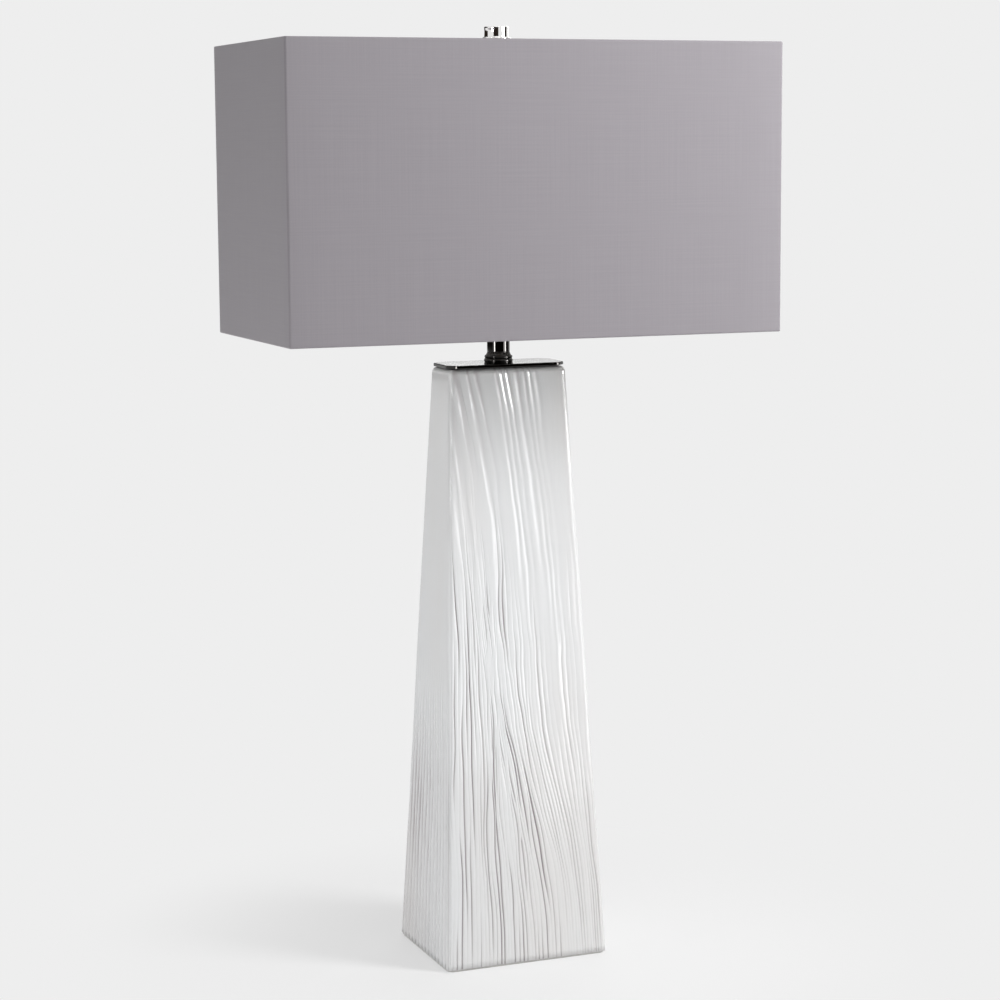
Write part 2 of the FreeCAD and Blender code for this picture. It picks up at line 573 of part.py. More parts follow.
# ---------------------------------------------------------------- socket
HUB_UP = f"({CAP_LOW} + cap_hub_height)"
DOME_UP = f"({HUB_UP} + cap_dome)"
DOME_BEND = "(cap_radius - cap_hub_radius)*1.05"
socket_cap = turned("socket_cap", [
    ("pipe_radius", CAP_LOW), ("cap_hub_radius", CAP_LOW), ("cap_hub_radius", HUB_UP),
    ("cap_radius", DOME_UP, DOME_BEND, 1), ("cap_radius", CAP_TOP),
    ("cap_radius - cap_wall", CAP_TOP), ("cap_radius - cap_wall", DOME_UP),
    ("cap_hub_radius", f"{HUB_UP} + cap_wall", f"{DOME_BEND} - cap_wall", -1),
    ("pipe_radius", f"{HUB_UP} + cap_wall")])
screw_hole = new_sketch(socket_cap, "ScrewHole", "XZ_Plane")
circle(screw_hole, "set_screw_radius", y=f"{CAP_LOW} + cap_hub_height/2")
pocket(socket_cap, screw_hole, "3*cap_hub_radius", reverse=False, name="SetScrewHole")

socket_set_screw = new_body("socket_set_screw")
set_round = new_sketch(socket_set_screw, "Shank", "XZ_Plane", offset="-pipe_radius")
circle(set_round, "set_screw_radius", y=f"{CAP_LOW} + cap_hub_height/2")
pad(socket_set_screw, set_round, "set_screw_length", reverse=True)
slot = new_sketch(socket_set_screw, "Slot", "XZ_Plane",
                  offset="-pipe_radius - set_screw_length")
rectangle(slot, "4*set_screw_radius", "0.6", y=f"{CAP_LOW} + cap_hub_height/2")
pocket(socket_set_screw, slot, "0.9", reverse=True, name="SlotCut")


def key_opening(body):
    """The hole for the switch shaft through the front of a tube."""
    shape = new_sketch(body, "KeyHole", "XZ_Plane", offset="key_depth")
    circle(shape, KEY_HOLE, y=KEY_LEVEL)
    pocket(body, shape, "2*cap_radius", reverse=True, name="KeyCut")


socket_shell = turned("socket_shell", [
    (f"{SHELL_RADIUS} - shell_wall", SHELL_LOW), (SHELL_RADIUS, SHELL_LOW),
    (SHELL_RADIUS, f"{SHELL_TOP} - 2*shell_bead"),
    (SHELL_RADIUS, SHELL_TOP, "shell_bead*1.2", 1),
    (f"{SHELL_RADIUS} - shell_wall", SHELL_TOP)])
key_opening(socket_shell)
socket_sleeve = disc("socket_sleeve", SLEEVE_RADIUS, f"{SLEEVE_RADIUS} - sleeve_wall",
                     f"{DOME_UP} + 1", f"{SHELL_TOP} - sleeve_short - {DOME_UP} - 1")
key_opening(socket_sleeve)

socket_body = turned("socket_body", [
    ("0", BODY_LOW), ("body_foot", BODY_LOW), ("body_foot", f"{BODY_LOW} + body_foot_height"),
    ("body_radius", f"{BODY_LOW} + body_foot_height"), ("body_radius", BODY_TOP),
    ("0", BODY_TOP)])
key_opening(socket_body)
for side, reverse in (("-", True), ("", False)):
    shape = new_sketch(socket_body, "TerminalHole", "YZ_Plane",
                       offset=f"{side}(body_radius - terminal_length)")
    circle(shape, "terminal_shank", y=f"{BODY_LOW} + key_rise")
    pocket(socket_body, shape, "body_radius", reverse=not reverse, name="TerminalCut")

screw_shell = turned("screw_shell", [
    ("contact_radius + 2", BODY_TOP), (f"{SCREW_SHELL_BORE} + shell_screw_wall", BODY_TOP),
    (f"{SCREW_SHELL_BORE} + shell_screw_wall", f"{BODY_TOP} + shell_screw_height"),
    (SCREW_SHELL_BORE, f"{BODY_TOP} + shell_screw_height"),
    (SCREW_SHELL_BORE, f"{BODY_TOP} + shell_screw_wall"),
    ("contact_radius + 2", f"{BODY_TOP} + shell_screw_wall")])
centre_contact = new_body("centre_contact")
contact_round = new_sketch(centre_contact, "Round", offset=BODY_TOP)
circle(contact_round, "contact_radius")
pad(centre_contact, contact_round, "contact_thick")

terminal_screws = new_body("terminal_screws")
for side, reverse in (("-", True), ("", False)):
    shank = new_sketch(terminal_screws, "Shank", "YZ_Plane",
                       offset=f"{side}(body_radius - terminal_length)")
    circle(shank, "terminal_shank", y=f"{BODY_LOW} + key_rise")
    pad(terminal_screws, shank, "terminal_length", reverse=reverse, name="ShankPad")
    screw_head = new_sketch(terminal_screws, "Head", "YZ_Plane", offset=f"{side}body_radius")
    circle(screw_head, "terminal_radius", y=f"{BODY_LOW} + key_rise")
    pad(terminal_screws, screw_head, "terminal_head", reverse=reverse, name="HeadPad")

# ---------------------------------------------------------------- switch key
# Both pieces are drawn about their own Z axis, which their placement points to the front.
KNOB_END = f"({KNOB_START} + knob_length)"
switch_shaft = turned("switch_shaft", [
    ("0", "key_depth + key_play"), ("key_shaft", "key_depth + key_play"),
    ("key_shaft", f"{KNOB_START} + knob_length*0.6"), ("0", f"{KNOB_START} + knob_length*0.6")])
switch_knob = turned("switch_knob", [
    ("0", f"{KNOB_START} + knob_length*0.6"), ("key_shaft", f"{KNOB_START} + knob_length*0.6"),
    ("key_shaft", KNOB_START), ("knob_collar", KNOB_START),
    ("knob_collar", f"{KNOB_START} + knob_length*0.2"),
    ("knob_radius", f"{KNOB_START} + knob_length*0.45"),
    ("knob_radius", f"{KNOB_END} - 1.5"), ("knob_radius - 1.5", KNOB_END, "1.5", 1),
    ("0", KNOB_END)])
web = new_sketch(switch_knob, "Flats", offset=f"{KNOB_START} + knob_length*0.35")
for side in ("-", ""):
    rectangle(web, "knob_radius", "4*knob_radius", x=f"{side}(knob_web/2 + knob_radius/2)")
pocket(switch_knob, web, "knob_length", reverse=True, name="FlatCut")
for piece in (switch_shaft, switch_knob):
    piece.Placement = FreeCAD.Placement(V(0, 0, 0), FreeCAD.Rotation(V(1, 0, 0), 90))
    piece.setExpression("Placement.Base.z", bound(KEY_LEVEL))

# ---------------------------------------------------------------- bulb
GLASS_FOOT = "(bulb_thread - bulb_cap_wall)"
GLASS_LOW = f"({BULB_CAP_TOP} - bulb_seat)"
BALL = f"({BULB_CAP_TOP} + bulb_centre)"


def flare(skin):
    """Where the neck meets the cone and the cone meets the ball, for a skin inside."""
    radius, side = f"(bulb_radius - {skin})", f"({GLASS_FOOT} - {skin})"
    wide = f"{radius}*cos(bulb_flare)"
    level = f"{BALL} - {radius}*sin(bulb_flare)"
    low = f"{level} - ({wide} - {side})/tan(bulb_flare)"
    return (side, low), (wide, level), ("0", f"{BALL} + {radius}", radius, 1)


outer_neck, outer_cone, outer_top = flare("0")
inner_neck, inner_cone, inner_top = flare("bulb_glass")
bulb_glass = turned("bulb_glass", [
    (f"{GLASS_FOOT} - bulb_glass", GLASS_LOW), (GLASS_FOOT, GLASS_LOW), outer_neck, outer_cone,
    outer_top, ("0", f"{BALL} + bulb_radius - bulb_glass"),
    (inner_cone[0], inner_cone[1], "bulb_radius - bulb_glass", -1), inner_neck])
bulb_cap = turned("bulb_cap", [
    ("bulb_thread - bulb_cap_wall", BULB_CAP_LOW), ("bulb_thread - 0.4", BULB_CAP_LOW),
    ("bulb_thread", f"{BULB_CAP_LOW} + 0.8"), ("bulb_thread", BULB_CAP_TOP),
    ("bulb_thread - bulb_cap_wall", BULB_CAP_TOP)])
bulb_insulator = turned("bulb_insulator", [
    ("0", f"{TIP_LOW} + bulb_tip_thick"), ("bulb_tip", f"{TIP_LOW} + bulb_tip_thick"),
    ("bulb_thread - bulb_cap_wall", BULB_CAP_LOW),
    ("bulb_thread - bulb_cap_wall", f"{BULB_CAP_LOW} + 2"), ("0", f"{BULB_CAP_LOW} + 2")])
bulb_tip = turned("bulb_tip", [
    ("0", TIP_LOW), ("bulb_tip - 0.9", TIP_LOW),
    ("bulb_tip", f"{TIP_LOW} + bulb_tip_thick", "bulb_tip_thick*1.05", 1),
    ("0", f"{TIP_LOW} + bulb_tip_thick")])
STEM_TOP = f"({GLASS_LOW} + stem_height)"
bulb_stem = turned("bulb_stem", [
    ("0", GLASS_LOW), (f"{GLASS_FOOT} - bulb_glass", GLASS_LOW),
    (f"{GLASS_FOOT} - bulb_glass", f"{GLASS_LOW} + stem_foot_thick"),
    ("stem_radius", f"{GLASS_LOW} + stem_foot_thick + 4", "9", -1),
    ("stem_radius*0.8", STEM_TOP), ("0", STEM_TOP)])
bulb_filament = new_body("bulb_filament")
lead_round = new_sketch(bulb_filament, "LeadRound", offset=STEM_TOP)
circle(lead_round, "lead_wire", x="-stem_radius*0.5")
lead_path = new_sketch(bulb_filament, "LeadPath", "XZ_Plane")
open_path(lead_path, [
    ("-stem_radius*0.5", STEM_TOP), ("-stem_radius*0.5", f"{STEM_TOP} + 2"),
    ("-lead_spread", f"{STEM_TOP} + lead_rise"), ("lead_spread", f"{STEM_TOP} + lead_rise"),
    ("stem_radius*0.5", f"{STEM_TOP} + 2"), ("stem_radius*0.5", STEM_TOP)])
swept(bulb_filament, lead_round, lead_path, name="Leads", corner="Right corner")

# ---------------------------------------------------------------- shade
def box_tube(label, inset, thick, corner):
    """A four-sided tube, open above and below, one layer of the shade's wall."""
    body = new_body(label)
    shape = new_sketch(body, "Tube", offset=SHADE_LOW)
    rounded(shape, f"shade_width - 2*{inset}", f"shade_depth - 2*{inset}", corner)
    inner = f"({inset} + {thick})"
    rounded(shape, f"shade_width - 2*{inner}", f"shade_depth - 2*{inner}",
            f"{corner} - {thick}")
    pad(body, shape, "shade_height")
    return body


def frame_ring(label, level):
    """A round wire bent to the shade's rectangle."""
    body = new_body(label)
    spine = new_sketch(body, "RingPath", offset=level)
    rounded(spine, f"shade_width - 2*{WIRE_INSET}", f"shade_depth - 2*{WIRE_INSET}",
            "frame_corner")
    wire = new_sketch(body, "Wire", "YZ_Plane")
    circle(wire, "frame_wire", x=f"-shade_depth/2 + {WIRE_INSET}", y=level)
    swept(body, wire, spine, name="Ring")
    return body


shade_cover = box_tube("shade_cover", "0", "cover_thick", "shade_corner")
shade_liner = box_tube("shade_liner", "cover_thick", "liner_thick", "shade_corner - cover_thick")
RING_HIGH = f"({SHADE_TOP} - frame_wire)"
shade_top_frame = frame_ring("shade_top_frame", RING_HIGH)
ARM_LEVEL = f"({HUB_TOP} + frame_wire)"
for role, half in (("YZ_Plane", "shade_depth/2"), ("XZ_Plane", "shade_width/2")):
    cross = "XZ_Plane" if role == "YZ_Plane" else "YZ_Plane"
    arm_path = new_sketch(shade_top_frame, "ArmPath", role)
    open_path(arm_path, [
        ("arm_start", ARM_LEVEL), ("arm_flat", ARM_LEVEL),
        (f"{half} - {WIRE_INSET}", RING_HIGH)])
    arm_round = new_sketch(shade_top_frame, "ArmRound", cross,
                           offset="-arm_start" if role == "YZ_Plane" else "arm_start")
    circle(arm_round, "frame_wire", y=ARM_LEVEL)
    arm = swept(shade_top_frame, arm_round, arm_path, name="Arm", corner="Right corner")
    twin = shade_top_frame.newObject("PartDesign::Mirrored", "OtherArm")
    twin.Originals = [arm]
    twin.MirrorPlane = (plane(shade_top_frame, cross), [""])
    shade_top_frame.Tip = twin
shade_bottom_frame = frame_ring("shade_bottom_frame", f"({SHADE_LOW} + frame_wire)")
spider_hub = disc("spider_hub", "hub_radius", "stud_thread + hub_hole_play", HUB_LOW,
                  "hub_thick")

# ---------------------------------------------------------------- finial
FLANGE_LOW = f"({FINIAL_LOW} + finial_flange_rise)"
FLANGE_UP = f"({FLANGE_LOW} + finial_flange_thick)"
FINIAL_TOP = f"({FINIAL_LOW} + finial_height)"
INSERT_TOP = f"({FINIAL_LOW} + insert_depth)"
finial = turned("finial", [
    ("insert_radius", FINIAL_LOW), ("finial_foot", FINIAL_LOW),
    ("finial_foot", f"{FINIAL_LOW} + finial_foot_thick"),
    ("finial_stem", f"{FINIAL_LOW} + finial_foot_thick + 1.6", "2", -1),
    ("finial_stem", f"{FINIAL_LOW} + finial_neck_rise"),
    ("finial_flange", FLANGE_LOW, "9", -1),
    ("finial_flange", FLANGE_UP, "finial_flange_thick*0.6", 1),
    ("finial_radius", FLANGE_UP),
    ("finial_radius", f"{FINIAL_TOP} - finial_edge", "finial_waist", -1),
    ("finial_radius - finial_edge", FINIAL_TOP, "finial_edge", 1),
    ("0", FINIAL_TOP), ("0", INSERT_TOP), ("insert_radius", INSERT_TOP)])
finial_insert = disc("finial_insert", "insert_radius", "stud_thread + thread_play", FINIAL_LOW,
                     "insert_depth")

# ---------------------------------------------------------------- check and write the pieces
doc.recompute()
faults = []
for item in doc.Objects:
    shape = getattr(item, "Shape", None)
    if "Invalid" in item.State or "Error" in item.State:
        faults.append(f"{item.Name} did not compute: {item.State}")
    elif item.TypeId.startswith("PartDesign") and (shape.isNull() or not shape.isValid()):
        faults.append(f"{item.Name} has no valid shape")
if faults:
    raise RuntimeError("; ".join(faults))
os.makedirs("parts", exist_ok=True)
bodies = [item for item in doc.Objects if item.TypeId == "PartDesign::Body"]
for item in bodies:
    item.Shape.exportStep(f"parts/{item.Label}.step")
    box = item.Shape.BoundBox
    print(f"{item.Label:20s} {len(item.Shape.Solids)} solid, {item.Shape.Volume:10.1f} mm3,"
          f" x {box.XMin:.2f} {box.XMax:.2f}, y {box.YMin:.2f} {box.YMax:.2f},"
          f" z {box.ZMin:.2f} {box.ZMax:.2f}")
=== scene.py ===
import json
import math
from functools import cache, partial

import bmesh
import bpy
import numpy as np
from bpy.props import FloatProperty, FloatVectorProperty, IntProperty, PointerProperty
from mathutils import Matrix, Vector


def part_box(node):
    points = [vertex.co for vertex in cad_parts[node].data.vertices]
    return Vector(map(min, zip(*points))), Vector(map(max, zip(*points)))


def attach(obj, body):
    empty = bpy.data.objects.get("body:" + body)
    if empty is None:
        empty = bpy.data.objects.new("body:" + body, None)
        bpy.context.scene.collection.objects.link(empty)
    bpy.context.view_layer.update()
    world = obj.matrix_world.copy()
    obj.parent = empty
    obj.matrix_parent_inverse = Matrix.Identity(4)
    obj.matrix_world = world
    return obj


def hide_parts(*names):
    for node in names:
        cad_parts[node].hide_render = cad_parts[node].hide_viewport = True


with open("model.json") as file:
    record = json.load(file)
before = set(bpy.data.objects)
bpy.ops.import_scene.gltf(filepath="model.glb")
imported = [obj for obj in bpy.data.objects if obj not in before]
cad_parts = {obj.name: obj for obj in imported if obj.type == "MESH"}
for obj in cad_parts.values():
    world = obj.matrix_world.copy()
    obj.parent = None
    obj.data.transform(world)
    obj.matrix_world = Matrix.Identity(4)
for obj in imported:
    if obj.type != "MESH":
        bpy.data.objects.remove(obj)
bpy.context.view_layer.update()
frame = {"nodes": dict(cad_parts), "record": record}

bl_info = {
    "name": "Column Table Lamp",
    "version": (1, 0, 0),
    "blender": (4, 5, 0),
    "location": "3D View > Sidebar > Lamp",
    "description": "Builds a glazed column table lamp with a rectangular fabric shade",
    "category": "Object",
}

MM = 0.001
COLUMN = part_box("column")
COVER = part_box("shade_cover")
# the radius of the lamp pipe's way through the column, the plate, the collar and the ring
BORE = 5.35 * MM


# ---------- node trees
class Wire:
    """A node's output, with arithmetic that adds Math nodes."""

    def __init__(self, tree, socket):
        self.tree = tree
        self.socket = socket

    def calc(self, operation, *others):
        """A Math node on this value and any others."""
        return self.tree.add("ShaderNodeMath", {"operation": operation},
                             dict(enumerate((self, *others))))

    def __add__(self, other):
        return self.calc("ADD", other)

    def __mul__(self, other):
        return self.calc("MULTIPLY", other)

    __radd__ = __add__
    __rmul__ = __mul__

    def wave(self, pitch):
        """A sine between -1 and 1 that repeats after a length."""
        return (self * (2 * math.pi / pitch)).calc("SINE")

    def between(self, low, high):
        """0 below low, 1 above high and a smooth rise between them."""
        return self.tree.add("ShaderNodeMapRange", {"interpolation_type": "SMOOTHSTEP"},
                             {0: self, 1: low, 2: high})


class Tree:
    """Adds nodes to a node tree, each with its settings and the values of its sockets."""

    def __init__(self, node_tree):
        self.node_tree = node_tree

    def plug(self, node, sockets):
        """Links wires to a node's sockets and sets other values on them."""
        for name, what in sockets.items():
            if isinstance(what, Wire):
                self.node_tree.links.new(what.socket, node.inputs[name])
            else:
                node.inputs[name].default_value = what

    def node(self, kind, settings=None, sockets=None):
        """A new node, with its settings made before its sockets are filled."""
        node = self.node_tree.nodes.new(kind)
        for name, setting in (settings or {}).items():
            setattr(node, name, setting)
        self.plug(node, sockets or {})
        return node

    def add(self, kind, settings=None, sockets=None, out=0):
        """One output of such a node."""
        return Wire(self, self.node(kind, settings, sockets).outputs[out])


class Finish(Tree):
    """A material round one Principled shader."""

    def __init__(self, name, colour, roughness, **constants):
        self.material = bpy.data.materials.new(name)
        self.material.use_nodes = True
        super().__init__(self.material.node_tree)
        self.shader = self.node_tree.nodes["Principled BSDF"]
        self.place = self.add("ShaderNodeTexCoord", out="Object")
        split = self.node("ShaderNodeSeparateXYZ", {}, {0: self.place})
        self.x, self.y, self.z = (Wire(self, axis) for axis in split.outputs)
        self.wear({"Base Color": (*colour, 1.0), "Roughness": roughness})
        self.wear({name.replace("_", " "): value for name, value in constants.items()})

    def wear(self, sockets):
        """Puts values or wires on the shader's sockets."""
        self.plug(self.shader, sockets)

    def stretched(self, x, y, z):
        """Object coordinates with a scale along each axis."""
        return self.add("ShaderNodeMapping", {}, {"Vector": self.place, "Scale": (x, y, z)})

    def noise(self, scale, detail, place=None):
        """Cloudy noise from 0 to 1 at so many swells a metre."""
        return self.add("ShaderNodeTexNoise", {}, {
            "Vector": place or self.place, "Scale": scale, "Detail": detail})

    def blend(self, amount, first, second):
        """A colour between two colours."""
        first, second = (what if isinstance(what, Wire) else (*what, 1.0)
                         for what in (first, second))
        return self.add("ShaderNodeMix", {"data_type": "RGBA"},
                        {0: amount, 6: first, 7: second}, out=2)

    def mottle(self, amount, low, high, least, change):
        """Colour and roughness that vary together."""
        self.wear({"Base Color": self.blend(amount, low, high),
                   "Roughness": least + change * amount})

    def bump(self, height, distance, strength):
        """Relief in metres, from a height between about 0 and 1."""
        self.wear({"Normal": self.add("ShaderNodeBump", {}, {
            "Height": height, "Distance": distance, "Strength": strength})})


# ---------- sizes and colours
class LampSizes(bpy.types.PropertyGroup):
    """The sizes that a user would change."""
    groove_depth: FloatProperty(
        name="Groove Depth", description="How deep the deepest carved line is",
        default=1.2 * MM, unit="LENGTH")
    fold_depth: FloatProperty(
        name="Fold Depth", description="How far the folds below the plate swell",
        default=1.0 * MM, unit="LENGTH")
    rib_depth: FloatProperty(
        name="Rib Depth", description="How deep the side faces' ribs are",
        default=1.6 * MM, unit="LENGTH")
    rows: IntProperty(
        name="Rows", description="Rows of faces up the column", default=98)
    seed: IntProperty(
        name="Seed", description="Where the carved lines fall", default=11)
    turn_in: FloatProperty(
        name="Turn In", description="How far the fabric is turned over the shade's edge",
        default=11.0 * MM, unit="LENGTH")


class LampColours(bpy.types.PropertyGroup):
    """The colours that a user would change, as linear values."""
    glaze: FloatVectorProperty(
        name="Glaze", description="The glaze on the ridges", subtype="COLOR",
        default=(0.80, 0.808, 0.815))
    # the browner glaze in the lines: thin glaze, darkened further as painted shade in the lines,
    # the ribs' valleys, the folds' valleys and along the shoulder under the plate
    glaze_thin_and_shade: FloatVectorProperty(
        name="Thin Glaze", description="The glaze in the carved lines", subtype="COLOR",
        default=(0.36, 0.31, 0.325))
    fabric: FloatVectorProperty(
        name="Fabric", description="The shade's fabric", subtype="COLOR",
        default=(0.308, 0.288, 0.311))
    dark_nickel: FloatVectorProperty(
        name="Dark Nickel", description="The top plate and the neck", subtype="COLOR",
        default=(0.045, 0.043, 0.042))
    nickel: FloatVectorProperty(
        name="Nickel", description="The finial", subtype="COLOR",
        default=(0.93, 0.92, 0.91))


def sizes():
    return bpy.context.scene.lamp_sizes


def colours():
    return bpy.context.scene.lamp_colours


# ---------- finishes
@cache
def finish(maker):
    """The material that a maker builds, built once."""
    return maker().material


# the glaze's cloudy patches, the weave's repeat, the pipe thread's pitch and the brass
WARM_GLAZE = (0.78, 0.77, 0.765)
YARN = 0.42 * MM
PIPE_PITCH = 0.94 * MM
BRASS = (0.72, 0.5, 0.2)


def white_glaze():
    """Glossy white glaze, browner in the carved lines as thin glaze with painted shade, and with
    painted shade in the folds' valleys and under the plate.
    """
    glaze, thin_and_shaded = tuple(colours().glaze), tuple(colours().glaze_thin_and_shade)
    coat = Finish("white_glaze", glaze, 0.1, IOR=1.52, Specular_IOR_Level=0.5)
    # the groove attribute holds how much thin glaze and painted shade each point gets
    depth = coat.add("ShaderNodeAttribute", {"attribute_name": "groove"}, out="Fac")
    cloud = coat.noise(9.0, 3.0, coat.stretched(1.0, 1.0, 0.25))
    warm = coat.blend(cloud.between(0.35, 0.7), glaze, WARM_GLAZE)
    coat.wear({"Base Color": coat.blend(depth.between(0.12, 0.85), warm, thin_and_shaded),
               "Roughness": 0.07 + 0.1 * coat.noise(60.0, 2.0)})
    coat.bump(coat.noise(320.0, 2.0, coat.stretched(1.0, 1.0, 0.12)), 0.12 * MM, 0.5)
    return coat


def shade_fabric():
    """Fine plain weave with faint slubs, warp upright and weft round the shade."""
    colour = tuple(colours().fabric)
    cloth = Finish("shade_fabric", colour, 0.85, Sheen_Weight=0.25,
                   Sheen_Roughness=0.5, Specular_IOR_Level=0.25)
    around = cloth.x + cloth.y
    weave = around.wave(YARN) * cloth.z.wave(YARN)
    across = cloth.add("ShaderNodeCombineXYZ", {}, {0: around * 12.0, 1: cloth.z * 900.0})
    upright = cloth.add("ShaderNodeCombineXYZ", {}, {0: around * 900.0, 1: cloth.z * 9.0})
    slub = cloth.noise(1.0, 3.0, across) * 0.5 + cloth.noise(1.0, 3.0, upright) * 0.5
    dark, pale = (tuple(share * part for part in colour) for share in (0.965, 1.03))
    cloth.wear({"Base Color": cloth.blend(slub.between(0.3, 0.7), dark, pale)})
    cloth.bump(weave * 0.25 + slub, 0.015 * MM, 0.3)
    return cloth


def dark_nickel():
    """Polished black nickel with a breath of unevenness in its polish."""
    plated = Finish("dark_nickel", tuple(colours().dark_nickel), 0.06, Metallic=1.0)
    plated.wear({"Roughness": 0.025 + 0.04 * plated.noise(140.0, 3.0)})
    plated.bump(plated.noise(420.0, 1.0), 0.01 * MM, 0.4)
    return plated


def nickel():
    """Polished nickel."""
    plated = Finish("nickel", tuple(colours().nickel), 0.06, Metallic=1.0)
    haze = plated.noise(90.0, 3.0)
    plated.wear({
        "Base Color": plated.blend(haze.between(0.4, 0.8), tuple(colours().nickel),
                                   (0.86, 0.84, 0.82)),
        "Roughness": 0.04 + 0.06 * haze})
    return plated


def satin_nickel():
    """Nickel on drawn wire and pressed sleeves, duller than the finial's."""
    plated = Finish("satin_nickel", (0.58, 0.56, 0.53), 0.24, Metallic=1.0)
    plated.mottle(plated.noise(130.0, 3.0), (0.52, 0.5, 0.47), (0.64, 0.62, 0.59), 0.18, 0.14)
    plated.bump(plated.noise(600.0, 2.0), 0.01 * MM, 0.5)
    return plated


def brass():
    """Lacquered brass with turning marks round its axis and a little tarnish."""
    shell = Finish("brass", BRASS, 0.25, Metallic=1.0)
    tarnish = shell.noise(70.0, 4.0)
    turned = shell.noise(1.0, 2.0, shell.stretched(20.0, 20.0, 2600.0))
    shell.wear({
        "Base Color": shell.blend(tarnish.between(0.45, 0.75), BRASS, (0.5, 0.32, 0.13)),
        "Roughness": 0.16 + 0.2 * tarnish})
    shell.bump(turned, 0.02 * MM, 0.6)
    return shell


def zinc():
    """Zinc plate, faintly blue and patchy."""
    plated = Finish("zinc", (0.55, 0.57, 0.6), 0.35, Metallic=1.0)
    plated.mottle(plated.noise(160.0, 4.0), (0.45, 0.47, 0.51), (0.64, 0.64, 0.62), 0.25, 0.25)
    return plated


def oiled_steel():
    """Steel pipe with its thread drawn in the surface."""
    pipe = Finish("oiled_steel", (0.36, 0.33, 0.28), 0.35, Metallic=1.0)
    pipe.mottle(pipe.noise(110.0, 4.0), (0.25, 0.22, 0.18), (0.46, 0.43, 0.38), 0.25, 0.25)
    pipe.bump(pipe.z.wave(PIPE_PITCH), 0.2 * MM, 0.8)
    return pipe


def felt():
    """Dense needled felt, off white."""
    pad = Finish("felt", (0.6, 0.59, 0.57), 0.95, Sheen_Weight=0.5)
    fibre = pad.noise(1400.0, 4.0)
    pad.wear({"Base Color": pad.blend(fibre, (0.5, 0.49, 0.47), (0.72, 0.71, 0.69))})
    pad.bump(fibre, 0.3 * MM, 0.8)
    return pad


def plain(name, low, high, roughness, grain, depth, **constants):
    """A quiet moulded, painted or pressed surface with a grain of its own."""
    skin = Finish(name, low, roughness, **constants)
    speck = skin.noise(grain, 3.0)
    skin.mottle(speck, low, high, roughness * 0.8, roughness * 0.4)
    skin.bump(speck, depth * MM, 0.6)
    return skin


# the quiet surfaces: two colours, roughness, the grain's swells a metre and its depth in mm
nylon = partial(plain, "nylon", (0.68, 0.68, 0.65), (0.78, 0.78, 0.76), 0.45, 700.0, 0.03)
gasket_rubber = partial(plain, "gasket_rubber", (0.02, 0.02, 0.02), (0.045, 0.045, 0.045),
                        0.7, 900.0, 0.05)
sleeve_board = partial(plain, "sleeve_board", (0.2, 0.14, 0.08), (0.32, 0.24, 0.15),
                       0.85, 900.0, 0.08)
phenolic = partial(plain, "phenolic", (0.012, 0.01, 0.009), (0.03, 0.025, 0.022),
                   0.3, 260.0, 0.03)
knob_black = partial(plain, "knob_black", (0.008, 0.008, 0.009), (0.02, 0.02, 0.021),
                     0.16, 120.0, 0.01)
white_paint = partial(plain, "white_paint", (0.74, 0.74, 0.73), (0.8, 0.8, 0.79),
                      0.38, 1500.0, 0.03)
styrene = partial(plain, "styrene", (0.8, 0.79, 0.77), (0.85, 0.845, 0.83), 0.42, 500.0, 0.02)
cap_aluminium = partial(plain, "cap_aluminium", (0.6, 0.6, 0.61), (0.7, 0.7, 0.7),
                        0.24, 400.0, 0.01, Metallic=1.0)
solder = partial(plain, "solder", (0.45, 0.45, 0.47), (0.62, 0.62, 0.63), 0.3, 500.0, 0.1,
                 Metallic=1.0)
black_glass = partial(plain, "black_glass", (0.006, 0.006, 0.008), (0.014, 0.014, 0.016),
                      0.08, 200.0, 0.02)
tungsten = partial(plain, "tungsten", (0.12, 0.115, 0.11), (0.24, 0.23, 0.22),
                   0.45, 2500.0, 0.03, Metallic=1.0)


def frosted_glass():
    """Glass frosted on the inside."""
    globe = Finish("frosted_glass", (0.96, 0.96, 0.94), 0.3, Transmission_Weight=0.75, IOR=1.2)
    globe.mottle(globe.noise(45.0, 3.0), (0.93, 0.93, 0.91), (0.98, 0.98, 0.97), 0.3, 0.15)
    return globe


def clear_glass():
    """Clear glass of the bulb's stem."""
    stem = Finish("clear_glass", (0.95, 0.97, 0.97), 0.03, Transmission_Weight=1.0, IOR=1.45)
    stem.wear({"Roughness": 0.02 + 0.05 * stem.noise(200.0, 2.0)})
    return stem


# ---------- making pieces
def linked(name, data):
    """An object with some data, in the scene."""
    holder = bpy.data.objects.new(name, data)
    bpy.context.scene.collection.objects.link(holder)
    return holder


def applied(holder, name):
    """The plain mesh that an object's modifier makes; the object goes."""
    bpy.context.view_layer.update()
    shown = holder.evaluated_get(bpy.context.evaluated_depsgraph_get())
    mesh = bpy.data.meshes.new_from_object(shown)
    mesh.name = name
    bpy.data.objects.remove(holder)
    return mesh


def put(name, mesh, maker, body, slot, *stands_for, smooth=True):
    """A finished piece: its material, its body and the CAD pieces it hides; slot is not used."""
    piece = linked(name, mesh)
    mesh.materials.clear()
    mesh.materials.append(finish(maker))
    if smooth:
        mesh.shade_smooth()
    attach(piece, body)
    if stands_for:
        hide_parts(*stands_for)
    return piece


def heights(node):
    """A node's bottom and top, in millimetres."""
    return (corner.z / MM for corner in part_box(node))


def mesh_of(name, points, faces):
    """A mesh from its points and the numbers of each face's points."""
    mesh = bpy.data.meshes.new(name)
    mesh.from_pydata(points, [], faces)
    mesh.validate()
    mesh.update()
    return mesh


def rings(name, rows):
    """A mesh over rows of points, each row a closed ring, and the last row joined to the first."""
    rows = np.asarray(rows, float)
    count, size = rows.shape[:2]
    here = np.arange(size)
    after = (here + 1) % size
    faces = []
    for row in range(count):
        low, high = row * size, (row + 1) % count * size
        faces.append(np.stack([low + here, low + after, high + after, high + here], 1))
    return mesh_of(name, rows.reshape(-1, 3).tolist(), np.concatenate(faces).tolist())


